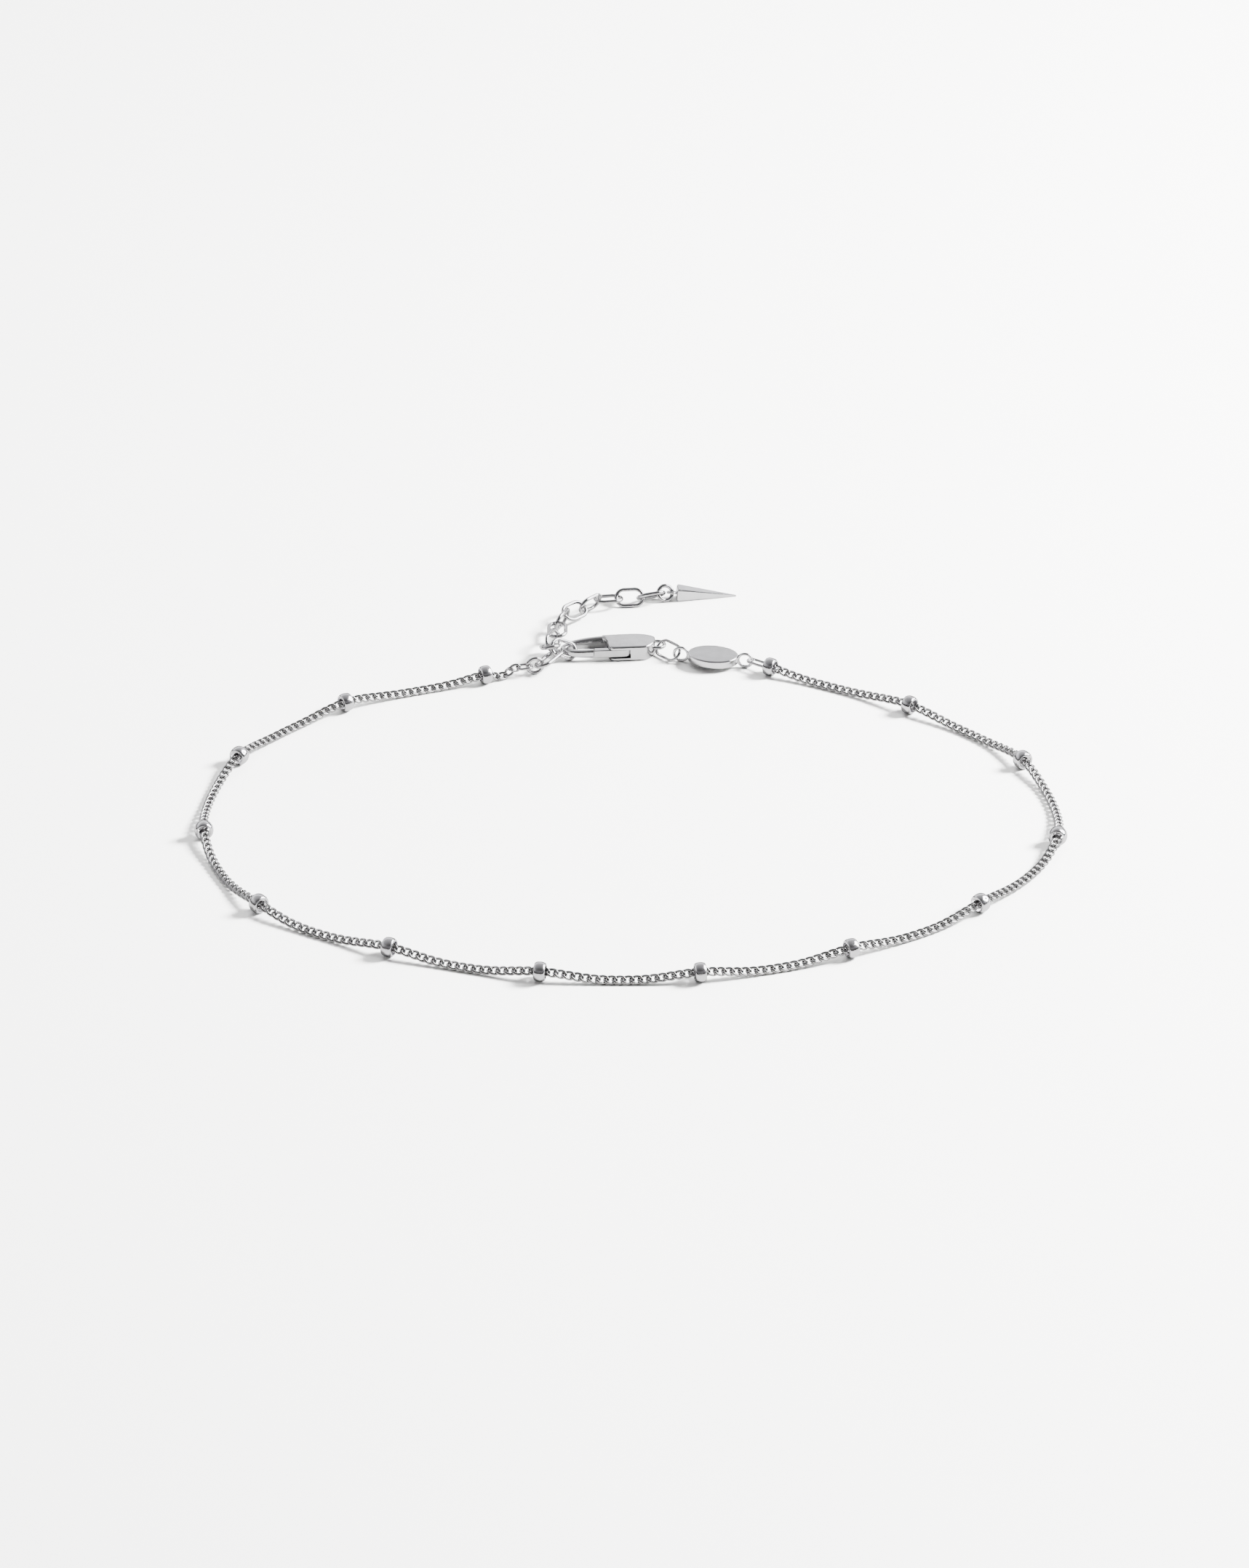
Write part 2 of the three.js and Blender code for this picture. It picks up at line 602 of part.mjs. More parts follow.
function addTag(group) {
  const tag = named("tag", tagGeometry(), silver(0xc9c9cc, 0.3));
  group.add(lay(tag, { ...TAG_PLACE, z: tagHeight }));

  // The clasp's link reaches from the near side of the clasp's ring to the near ear
  const ring = new THREE.Vector3(...CLASP_RING_PLACE, 0)
    .applyAxisAngle(new THREE.Vector3(0, 0, 1), CLASP_PLACE.heading * DEG)
    .add(new THREE.Vector3(CLASP_PLACE.x, CLASP_PLACE.y, CLASP_THICKNESS / 2));
  const pull = nearEarWire.clone().sub(ring).normalize();
  ring.addScaledVector(pull, (CLASP_RING.length - CLASP_RING.wire) / 2);
  const claspLink = named("clasp_link", wireLoop(CLASP_LINK), silver(0xd2d2d6, 0.15));
  const { x, y, z } = ring.clone().lerp(nearEarWire, 0.5);
  group.add(lay(claspLink, { x, y, z, roll: CLASP_LINK.roll, ...bearing(nearEarWire.clone().sub(ring)) }));

  const tagLink = named("tag_link", wireLoop(TAG_LINK), silver(0xd2d2d6, 0.15));
  const { x: tagX, y: tagY, z: tagZ } = tagLinkCentre;
  group.add(lay(tagLink, { x: tagX, y: tagY, z: tagZ, ...bearing(tagLinkLine) }));
}

function buildAnklet() {
  const laid = new THREE.Group();
  addBeads(laid);
  addChain(laid);
  addEndRing(laid);
  addDrop(laid, addExtender(laid));
  addClasp(laid);
  addTag(laid);

  // The origin is the middle of the outer box, at the surface that the anklet lies on
  const box = new THREE.Box3().setFromObject(laid, true);
  const middle = box.getCenter(new THREE.Vector3());
  laid.position.set(-middle.x, -middle.y, -box.min.z);
  const anklet = new THREE.Group();
  anklet.add(laid);
  return anklet;
}

export default buildAnklet();
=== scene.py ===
"""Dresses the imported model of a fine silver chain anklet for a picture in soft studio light.

The anklet is fastened and lies on a pale table in a loose oval. The curb links, the beads, the rings and
links, the spike drop, the tag and the clasp are made here over their solids, in metres and in the model's own
frame. Only the clasp's pin keeps its solid.
"""

import json
import logging
import math
from dataclasses import dataclass
from enum import Enum
from typing import Callable, Iterable

import bmesh
import bpy
import numpy as np
from mathutils import Euler, Matrix, Vector


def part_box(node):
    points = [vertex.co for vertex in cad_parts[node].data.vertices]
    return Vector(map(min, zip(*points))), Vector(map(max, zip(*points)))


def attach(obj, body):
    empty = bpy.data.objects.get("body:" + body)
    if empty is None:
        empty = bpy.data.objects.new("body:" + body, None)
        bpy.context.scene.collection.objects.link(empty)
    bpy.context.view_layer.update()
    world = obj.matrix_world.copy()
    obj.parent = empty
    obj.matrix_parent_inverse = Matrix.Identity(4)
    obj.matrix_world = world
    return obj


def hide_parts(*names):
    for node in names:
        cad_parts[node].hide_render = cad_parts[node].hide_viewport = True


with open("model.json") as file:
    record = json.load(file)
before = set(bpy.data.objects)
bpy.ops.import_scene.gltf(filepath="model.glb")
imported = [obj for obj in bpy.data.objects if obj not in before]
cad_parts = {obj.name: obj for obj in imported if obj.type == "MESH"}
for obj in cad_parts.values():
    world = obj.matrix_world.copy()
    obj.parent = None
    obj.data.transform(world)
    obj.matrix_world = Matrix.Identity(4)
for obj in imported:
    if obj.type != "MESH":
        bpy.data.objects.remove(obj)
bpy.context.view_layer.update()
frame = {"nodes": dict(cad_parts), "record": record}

MM = 0.001
BEAD_COUNT = 14
CHAIN_NODES = [f"chain_{number:02d}" for number in range(1, BEAD_COUNT + 1)]
BEAD_NODES = [f"bead_{number:02d}" for number in range(1, BEAD_COUNT + 1)]
PHOTO_HEIGHT_PX = 2156
SENSOR_MM = 36.0

Spot = tuple[float, float]
Outline = list[Spot]
Ring = list[bmesh.types.BMVert]
Join = tuple[bpy.types.Node, str | int, bpy.types.Node, str | int]

log = logging.getLogger("anklet")


class Body(Enum):
    """The bodies that a piece can ride on."""

    ANKLET = "anklet"
    GATE = "gate"


class Operation(Enum):
    """What is done with a solid that meets another."""

    JOIN = "UNION"
    CUT = "DIFFERENCE"


def add_piece(name: str, mesh: bpy.types.Mesh, body: Body, replaces: Iterable[str] = ()) -> bpy.types.Object:
    """Puts a mesh into the scene as a piece of the anklet.

    Args:
        name: the piece's name.
        mesh: its mesh, with its place in its vertices.
        body: the body that it rides on.
        replaces: the nodes that it stands for.

    Returns:
        The new object.
    """
    piece = bpy.data.objects.new(name, mesh)
    bpy.context.scene.collection.objects.link(piece)
    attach(piece, body.value)
    nodes = list(replaces)
    if nodes:
        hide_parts(*nodes)
    log.info("%s: %d faces", name, len(mesh.polygons))
    return piece


def mesh_from(
    name: str, build: Callable[[bmesh.types.BMesh], None], smooth_angle: float = 180.0
) -> bpy.types.Mesh:
    """Makes a smooth-shaded mesh from what a function adds to an empty bmesh.

    Args:
        name: the mesh's name.
        build: adds the geometry.
        smooth_angle: edges that turn by more than this, in degrees, are shaded sharp.

    Returns:
        The mesh, with its faces pointing outwards.
    """
    work = bmesh.new()
    build(work)
    bmesh.ops.recalc_face_normals(work, faces=work.faces)
    mesh = bpy.data.meshes.new(name)
    work.to_mesh(mesh)
    work.free()
    mesh.shade_smooth()
    if smooth_angle < 180.0:
        mesh.set_sharp_from_angle(angle=math.radians(smooth_angle))
    return mesh


def node_points(node: str) -> np.ndarray:
    """Returns a node's vertices as rows of x, y, z in metres."""
    vertices = frame["nodes"][node].data.vertices
    points = np.empty(len(vertices) * 3)
    vertices.foreach_get("co", points)
    return np.unique(points.reshape(-1, 3).round(7), axis=0)


def own_frame(node: str) -> Matrix:
    """Finds how a node lies, from how its vertices spread.

    Args:
        node: the node's name.

    Returns:
        A matrix whose X column is the node's long way, Y its second and Z its thinnest, placed at its middle.
    """
    points = node_points(node)
    middle = points.mean(axis=0)
    _, _, spread = np.linalg.svd(points - middle, full_matrices=False)
    along, across = Vector(spread[0]), Vector(spread[1])
    turn = Matrix((along, across, along.cross(across))).transposed().to_4x4()
    return Matrix.Translation(Vector(middle)) @ turn


def bridge(work: bmesh.types.BMesh, rings: list[Ring], close: bool) -> None:
    """Joins closed rings of vertices with quads.

    Args:
        work: the bmesh that holds the rings.
        rings: the rings, in order, all with the same number of vertices.
        close: joins the last ring to the first; otherwise both ends are capped.
    """
    count = len(rings[0])
    pairs = list(zip(rings, rings[1:] + rings[:1]))
    for near, far in pairs if close else pairs[:-1]:
        for i in range(count):
            work.faces.new((near[i], near[(i + 1) % count], far[(i + 1) % count], far[i]))
    if not close:
        work.faces.new(rings[0])
        work.faces.new(rings[-1])


def sweep(
    work: bmesh.types.BMesh,
    centres: list[Vector],
    outs: list[Vector],
    ups: list[Vector],
    wire: float,
    sides: int,
) -> None:
    """Sweeps a round wire through a closed line of places.

    Args:
        work: the bmesh that the wire is added to.
        centres: the wire's middle at each place.
        outs: a direction across the wire at each place.
        ups: a direction across the wire and across the first, at each place.
        wire: the wire's diameter.
        sides: the number of faces round the wire.
    """
    angles = [2 * math.pi * side / sides for side in range(sides)]
    rings = []
    for centre, out, up in zip(centres, outs, ups):
        ring = [centre + (out * math.cos(a) + up * math.sin(a)) * wire / 2 for a in angles]
        rings.append([work.verts.new(point) for point in ring])
    bridge(work, rings, close=True)


@dataclass(frozen=True)
class WireLoop:
    """A soldered loop of round wire: two half circles with straight sides.

    It lies in its own XY plane, its long way along X.

    Attributes:
        length: outside length, in metres.
        width: outside width.
        wire: the wire's diameter.
        steps: the number of places along the wire.
        sides: the number of faces round the wire.
    """

    length: float
    width: float
    wire: float
    steps: int = 48
    sides: int = 16

    def add_to(self, work: bmesh.types.BMesh, place: Matrix) -> None:
        """Adds the loop to a bmesh, put in its place by a matrix."""
        bend_radius = (self.width - self.wire) / 2
        straight = (self.length - self.width) / 2
        centres, outs, ups = [], [], []
        turn = place.to_3x3()
        for step in range(self.steps):
            angle = 2 * math.pi * (step + 0.5) / self.steps
            out = Vector((math.cos(angle), math.sin(angle), 0))
            centre = out * bend_radius + Vector((math.copysign(straight, out.x), 0, 0))
            centres.append(place @ centre)
            outs.append(turn @ out)
            ups.append(turn @ Vector((0, 0, 1)))
        sweep(work, centres, outs, ups, self.wire, self.sides)

    def mesh(self, name: str, place: Matrix) -> bpy.types.Mesh:
        """Returns the loop as a mesh of its own."""
        return mesh_from(name, lambda work: self.add_to(work, place))


def join_nodes(tree: bpy.types.NodeTree, *joins: Join) -> None:
    """Links the nodes of a tree.

    Args:
        tree: the tree.
        joins: for each link, the node and output that it leaves and the node and input that it reaches.
    """
    for source, output, target, entry in joins:
        tree.links.new(source.outputs[output], target.inputs[entry])


def add_sockets(tree: bpy.types.NodeTree, inputs: dict[str, str], outputs: dict[str, str]) -> None:
    """Gives a node group its inputs and outputs.

    Args:
        tree: the group.
        inputs: the inputs' names, each with its kind, such as "Float".
        outputs: the outputs' names, likewise.
    """
    for direction, sockets in (("INPUT", inputs), ("OUTPUT", outputs)):
        for name, kind in sockets.items():
            tree.interface.new_socket(name=name, in_out=direction, socket_type="NodeSocket" + kind)


@dataclass(frozen=True)
class Wear:
    """The pattern of wear that the finishes share.

    Attributes:
        patch_detail: octaves of noise in the patches of bloom and haze.
        patch_range: the noise values where a patch begins and where it is full.
        scratch_detail: octaves of noise in the scratches.
        scratch_roughness: how much the finer octaves of the scratches count.
        scratch_ratio: how much finer the scratches are than the patches.
    """

    patch_detail: float = 4.0
    patch_range: tuple[float, float] = (0.35, 0.68)
    scratch_detail: float = 6.0
    scratch_roughness: float = 0.7
    scratch_ratio: float = 3.0

    def group(self) -> bpy.types.NodeTree:
        """Returns the shader group that works out bloom, haze and scratches, built on its first use."""
        name = "silver_wear"
        if name in bpy.data.node_groups:
            return bpy.data.node_groups[name]
        tree = bpy.data.node_groups.new(name, "ShaderNodeTree")
        amounts = dict.fromkeys(("Bloom", "Polish", "Haze", "Grain", "Brush"), "Float")
        inputs = {"Place": "Vector", "Colour": "Color", "Tarnish": "Color", **amounts}
        add_sockets(tree, inputs, {"Colour": "Color", "Roughness": "Float", "Height": "Float"})
        nodes = tree.nodes
        given = nodes.new("NodeGroupInput")
        result = nodes.new("NodeGroupOutput")
        patches = nodes.new("ShaderNodeTexNoise")
        patches.inputs["Detail"].default_value = self.patch_detail
        patch_mask = nodes.new("ShaderNodeMapRange")
        patch_mask.inputs["From Min"].default_value = self.patch_range[0]
        patch_mask.inputs["From Max"].default_value = self.patch_range[1]
        bloom = nodes.new("ShaderNodeMath")
        bloom.operation = "MULTIPLY"
        tone = nodes.new("ShaderNodeMix")
        tone.data_type = "RGBA"
        haze = nodes.new("ShaderNodeMath")
        haze.operation = "MULTIPLY_ADD"
        stretch = nodes.new("ShaderNodeCombineXYZ")
        stretch.inputs["X"].default_value = 1.0
        drawn = nodes.new("ShaderNodeVectorMath")
        drawn.operation = "MULTIPLY"
        scratches = nodes.new("ShaderNodeTexNoise")
        scratches.inputs["Detail"].default_value = self.scratch_detail
        scratches.inputs["Roughness"].default_value = self.scratch_roughness
        scratch_scale = nodes.new("ShaderNodeMath")
        scratch_scale.operation = "MULTIPLY"
        scratch_scale.inputs[1].default_value = self.scratch_ratio
        join_nodes(
            tree,
            (given, "Place", patches, "Vector"),
            (given, "Grain", patches, "Scale"),
            (patches, "Fac", patch_mask, "Value"),
            (patch_mask, "Result", bloom, 0),
            (given, "Bloom", bloom, 1),
            (bloom, "Value", tone, "Factor"),
            (given, "Colour", tone, "A"),
            (given, "Tarnish", tone, "B"),
            (tone, "Result", result, "Colour"),
            (patch_mask, "Result", haze, 0),
            (given, "Haze", haze, 1),
            (given, "Polish", haze, 2),
            (haze, "Value", result, "Roughness"),
            (given, "Brush", stretch, "Y"),
            (given, "Brush", stretch, "Z"),
            (given, "Place", drawn, 0),
            (stretch, "Vector", drawn, 1),
            (given, "Grain", scratch_scale, 0),
            (drawn, "Vector", scratches, "Vector"),
            (scratch_scale, "Value", scratches, "Scale"),
            (scratches, "Fac", result, "Height"),
        )
        return tree


@dataclass(frozen=True)
class Silver:
    """A finish of sterling silver.

    Attributes:
        name: the material's name.
        colour: the metal's colour.
        tarnish: the colour of the faint dark bloom on it.
        polish: roughness of the cleanest places.
        bloom: how much of the bloom shows, from 0 to 1.
        haze: roughness added in the dullest places.
        grain: patches of haze per metre.
        scratches: depth of the fine scratches, in metres.
        brush: how much longer the scratches are than wide.
    """

    name: str
    colour: tuple[float, float, float]
    tarnish: tuple[float, float, float]
    polish: float
    bloom: float = 0.3
    haze: float = 0.1
    grain: float = 900.0
    scratches: float = 1.0e-6
    brush: float = 3.0

    def material(self) -> bpy.types.Material:
        """Builds the material.

        Returns:
            The material, whose colour, roughness and bump come from the shared group of wear.
        """
        material = bpy.data.materials.new(self.name)
        material.use_nodes = True
        tree = material.node_tree
        shader = tree.nodes["Principled BSDF"]
        shader.inputs["Metallic"].default_value = 1.0
        place = tree.nodes.new("ShaderNodeTexCoord")
        wear = tree.nodes.new("ShaderNodeGroup")
        wear.node_tree = Wear().group()
        values = {
            "Colour": (*self.colour, 1.0),
            "Tarnish": (*self.tarnish, 1.0),
            "Bloom": self.bloom,
            "Polish": self.polish,
            "Haze": self.haze,
            "Grain": self.grain,
            "Brush": self.brush,
        }
        for name, value in values.items():
            wear.inputs[name].default_value = value
        bump = tree.nodes.new("ShaderNodeBump")
        bump.inputs["Distance"].default_value = self.scratches
        join_nodes(
            tree,
            (place, "Object", wear, "Place"),
            (wear, "Height", bump, "Height"),
            (wear, "Colour", shader, "Base Color"),
            (wear, "Roughness", shader, "Roughness"),
            (bump, "Normal", shader, "Normal"),
        )
        return material


BRIGHT_SILVER = Silver(
    "bright_silver", colour=(0.8, 0.795, 0.81), tarnish=(0.55, 0.54, 0.545),
    polish=0.09, haze=0.08, brush=4.0,
)
POLISHED = Silver(
    "polished_silver", colour=(0.58, 0.575, 0.585), tarnish=(0.32, 0.31, 0.31),
    polish=0.05, bloom=0.35, haze=0.06,
)
TUMBLED_SILVER = Silver(
    "tumbled_silver", colour=(0.74, 0.73, 0.75), tarnish=(0.5, 0.49, 0.5),
    polish=0.13,
)
CHAIN_SILVER = Silver(
    "chain_silver", colour=(0.5, 0.495, 0.5), tarnish=(0.22, 0.215, 0.21),
    polish=0.07, bloom=0.5, haze=0.08, grain=1100.0, brush=2.0,
)
CAST_SILVER = Silver(
    "cast_silver", colour=(0.68, 0.675, 0.685), tarnish=(0.44, 0.43, 0.435),
    polish=0.11, scratches=1.2e-6, brush=5.0,
)
SATIN_SILVER = Silver(
    "satin_silver", colour=(0.66, 0.66, 0.67), tarnish=(0.5, 0.5, 0.5),
    polish=0.3, grain=1500.0, scratches=2.0e-6, brush=12.0,
)


@dataclass
class Route:
    """The line that the chain lies along, from its end link through every bead to the tag's link.

    Attributes:
        lying_height: the height of the chain's middle where it lies on the surface.
        drop: how steeply the chain falls from each bead to the surface.
        samples: the number of places worked out between two beads.
        end_reach: how near to its bead the short end of the last stretch is looked for.
        end_slice: how deep a slice of a stretch counts as its end face.
        near: how far from a bead its direction is taken, as a share of the span.
    """

    lying_height: float = 0.37 * MM
    drop: float = 1.5
    samples: int = 60
    end_reach: float = 4 * MM
    end_slice: float = 0.2 * MM
    near: float = 0.02

    def __post_init__(self) -> None:
        """Finds the beads and the two ends of the chain in the model."""
        self.beads = [self.middle(node) for node in BEAD_NODES]
        self.first = self.end_of(CHAIN_NODES[0], self.beads[0])
        self.last = self.end_of(CHAIN_NODES[-1], self.beads[-1])
        tag_side = self.beads[-1] + (self.beads[-1] - self.last)
        self.knots = [self.first, *self.beads, tag_side]

    @staticmethod
    def middle(node: str) -> Vector:
        """Returns the middle of a node's box."""
        low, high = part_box(node)
        return (low + high) / 2

    def end_of(self, node: str, bead: Vector) -> Vector:
        """Finds the middle of the end face of a stretch of chain that is near a bead but not in it.

        Args:
            node: the stretch.
            bead: the middle of the bead.

        Returns:
            The end face's middle.
        """
        points = node_points(node)
        offset = points - np.array(bead)
        if node == CHAIN_NODES[0]:
            way = offset.mean(axis=0)
            reach = offset @ (way / np.linalg.norm(way))
        else:
            way = offset[np.linalg.norm(offset, axis=1) < self.end_reach].mean(axis=0)
            reach = -(offset @ (way / np.linalg.norm(way)))
        return Vector(points[reach > reach.max() - self.end_slice].mean(axis=0))

    def span_point(self, span: int, share: float) -> Vector:
        """Works out a place in plan on the centripetal spline through the knots.

        Args:
            span: the span's number, counted from the chain's end link.
            share: how far along the span, from 0 to 1.

        Returns:
            The place, at height 0.
        """
        flat = [Vector((knot.x, knot.y, 0)) for knot in self.knots]
        before = flat[span - 1] if span > 0 else 2 * flat[0] - flat[1]
        start, end = flat[span], flat[span + 1]
        after = flat[span + 2] if span + 2 < len(flat) else 2 * flat[-1] - flat[-2]
        gaps = [math.sqrt((b - a).length) for a, b in ((before, start), (start, end), (end, after))]
        near, here, far = gaps
        leave = ((start - before) / near - (end - before) / (near + here) + (end - start) / here) * here
        reach = ((end - start) / here - (after - start) / (here + far) + (after - end) / far) * here
        t = share
        return (
            start * (2 * t**3 - 3 * t**2 + 1)
            + leave * (t**3 - 2 * t**2 + t)
            + end * (3 * t**2 - 2 * t**3)
            + reach * (t**3 - t**2)
        )

    def points(self) -> list[Vector]:
        """Returns places along the whole chain, at the height of its middle."""
        line = []
        for span in range(BEAD_COUNT):
            from_height = self.knots[span].z
            to_height = self.knots[span + 1].z
            for step in range(self.samples):
                share = step / self.samples
                place = self.span_point(span, share)
                lift = ((1 + math.cos(2 * math.pi * share)) / 2) ** self.drop
                held = from_height + (to_height - from_height) * share
                place.z = self.lying_height + (held - self.lying_height) * lift
                line.append(place)
        line.append(self.beads[-1].copy())
        return line

    def tangent(self, bead: int) -> Vector:
        """Returns the chain's direction in plan at a bead."""
        last = bead == BEAD_COUNT - 1
        ahead = self.span_point(bead, 1.0) if last else self.span_point(bead + 1, self.near)
        behind = self.span_point(bead, 1 - (2 * self.near if last else self.near))
        return (ahead - behind).normalized()


def socket_id(tree: bpy.types.NodeTree, name: str) -> str:
    """Returns the identifier of a node tree's input."""
    return next(s.identifier for s in tree.interface.items_tree if s.in_out == "INPUT" and s.name == name)


def run_tree(
    name: str, carrier: bpy.types.ID, tree: bpy.types.NodeTree, values: dict[str, object]
) -> bpy.types.Mesh:
    """Runs a geometry node tree on a curve or a mesh and keeps what it makes as a plain mesh.

    Args:
        name: the new mesh's name.
        carrier: the curve or mesh that goes in.
        tree: the tree.
        values: the tree's inputs by name.

    Returns:
        The mesh.
    """
    holder = bpy.data.objects.new(name + "_holder", carrier)
    bpy.context.scene.collection.objects.link(holder)
    modifier = holder.modifiers.new(name, "NODES")
    modifier.node_group = tree
    for socket, value in values.items():
        modifier[socket_id(tree, socket)] = value
    bpy.context.view_layer.update()
    shown = holder.evaluated_get(bpy.context.evaluated_depsgraph_get())
    mesh = bpy.data.meshes.new_from_object(shown)
    mesh.name = name
    holder.modifiers.remove(modifier)
    bpy.data.objects.remove(holder)
    return mesh


def pattern_object(mesh: bpy.types.Mesh) -> bpy.types.Object:
    """Puts a mesh into the scene for a node tree to repeat."""
    pattern = bpy.data.objects.new(mesh.name, mesh)
    bpy.context.scene.collection.objects.link(pattern)
    return pattern


def repeat_tree(
    name: str, pattern: str, inputs: dict[str, str]
) -> tuple[bpy.types.NodeTree, bpy.types.Node, bpy.types.Node]:
    """Starts a geometry node tree that repeats an object and gives it a material.

    Args:
        name: the tree's name.
        pattern: the name of the input for the object.
        inputs: further inputs, each with its kind.

    Returns:
        The tree, its input node, and the node that puts the copies at points, which still needs its points.
    """
    tree = bpy.data.node_groups.new(name, "GeometryNodeTree")
    all_inputs = {"Geometry": "Geometry", **inputs, pattern: "Object", "Material": "Material"}
    add_sockets(tree, all_inputs, {"Geometry": "Geometry"})
    given = tree.nodes.new("NodeGroupInput")
    result = tree.nodes.new("NodeGroupOutput")
    source = tree.nodes.new("GeometryNodeObjectInfo")
    laid = tree.nodes.new("GeometryNodeInstanceOnPoints")
    real = tree.nodes.new("GeometryNodeRealizeInstances")
    dressed = tree.nodes.new("GeometryNodeSetMaterial")
    join_nodes(
        tree,
        (given, pattern, source, "Object"),
        (source, "Geometry", laid, "Instance"),
        (laid, "Instances", real, "Geometry"),
        (real, "Geometry", dressed, "Geometry"),
        (given, "Material", dressed, "Material"),
        (dressed, "Geometry", result, "Geometry"),
    )
    return tree, given, laid


@dataclass
class CurbChain:
    """The fine curb chain: twisted oval links, all lying the same way and each through the next.

    Attributes:
        pitch: the distance from link to link.
        half_length: from a link's middle to the middle of its wire, along the chain.
        half_width: the same across the chain.
        wire: the wire's diameter.
        twist: how far each end of a link is turned, in degrees.
        roll: how far the links lean on their edge towards the front, in degrees.
        steps: the number of places round a link.
        sides: the number of faces round its wire.
    """

    pitch: float = 0.77 * MM
    half_length: float = 0.56 * MM
    half_width: float = 0.34 * MM
    wire: float = 0.27 * MM
    twist: float = 38.0
    roll: float = 35.0
    steps: int = 22
    sides: int = 8

    def link_mesh(self) -> bpy.types.Mesh:
        """Returns one link, its long way along Z and its width along X."""

        def build(work: bmesh.types.BMesh) -> None:
            """Sweeps the wire round the twisted oval."""
            centres, outs, ups = [], [], []
            for step in range(self.steps):
                here = self.wire_line(2 * math.pi * step / self.steps)
                ahead = self.wire_line(2 * math.pi * (step + 0.5) / self.steps)
                behind = self.wire_line(2 * math.pi * (step - 0.5) / self.steps)
                along = (ahead - behind).normalized()
                out = here - along * here.dot(along)
                out.normalize()
                centres.append(here)
                outs.append(out)
                ups.append(along.cross(out))
            sweep(work, centres, outs, ups, self.wire, self.sides)

        return mesh_from("curb_link", build)

    def wire_line(self, angle: float) -> Vector:
        """Returns the middle of the wire at an angle round the link."""
        along = self.half_length * math.cos(angle)
        across = self.half_width * math.sin(angle)
        turn = math.radians(self.twist) * along / self.half_length
        return Vector((across * math.cos(turn), across * math.sin(turn), along))

    def tree(self) -> bpy.types.NodeTree:
        """Builds the node tree that lays links along a curve.

        Returns:
            A tree with inputs for the curve, the pitch, the link and its material.
        """
        tree, given, laid = repeat_tree("lay_links", "Link", {"Pitch": "Float"})
        upright = tree.nodes.new("GeometryNodeSetCurveNormal")
        upright.mode = "Z_UP"
        places = tree.nodes.new("GeometryNodeCurveToPoints")
        places.mode = "LENGTH"
        join_nodes(
            tree,
            (given, "Geometry", upright, "Curve"),
            (upright, "Curve", places, "Curve"),
            (given, "Pitch", places, "Length"),
            (places, "Points", laid, "Points"),
            (places, "Rotation", laid, "Rotation"),
        )
        return tree

    def lay(self, route: Route, material: bpy.types.Material) -> bpy.types.Object:
        """Lays the links along the route in place of the plain stretches of chain.

        Args:
            route: the chain's line.
            material: the links' finish.

        Returns:
            The chain.
        """
        points = route.points()
        curve = bpy.data.curves.new("chain_line", "CURVE")
        curve.dimensions = "3D"
        spline = curve.splines.new("POLY")
        spline.points.add(len(points) - 1)
        ways = [(b - a).normalized() for a, b in zip(points, points[1:])]
        for knot, point, way in zip(spline.points, points, [*ways, ways[-1]]):
            knot.co = (*point, 1.0)
            knot.tilt = math.radians(self.roll) * way.x
        length = sum((b - a).length for a, b in zip(points, points[1:]))
        even_pitch = length / round(length / self.pitch)
        link = pattern_object(self.link_mesh())
        values = {"Pitch": even_pitch, "Link": link, "Material": material}
        mesh = run_tree("curb_chain", curve, self.tree(), values)
        bpy.data.objects.remove(link)
        return add_piece("curb_chain", mesh, Body.ANKLET, CHAIN_NODES)


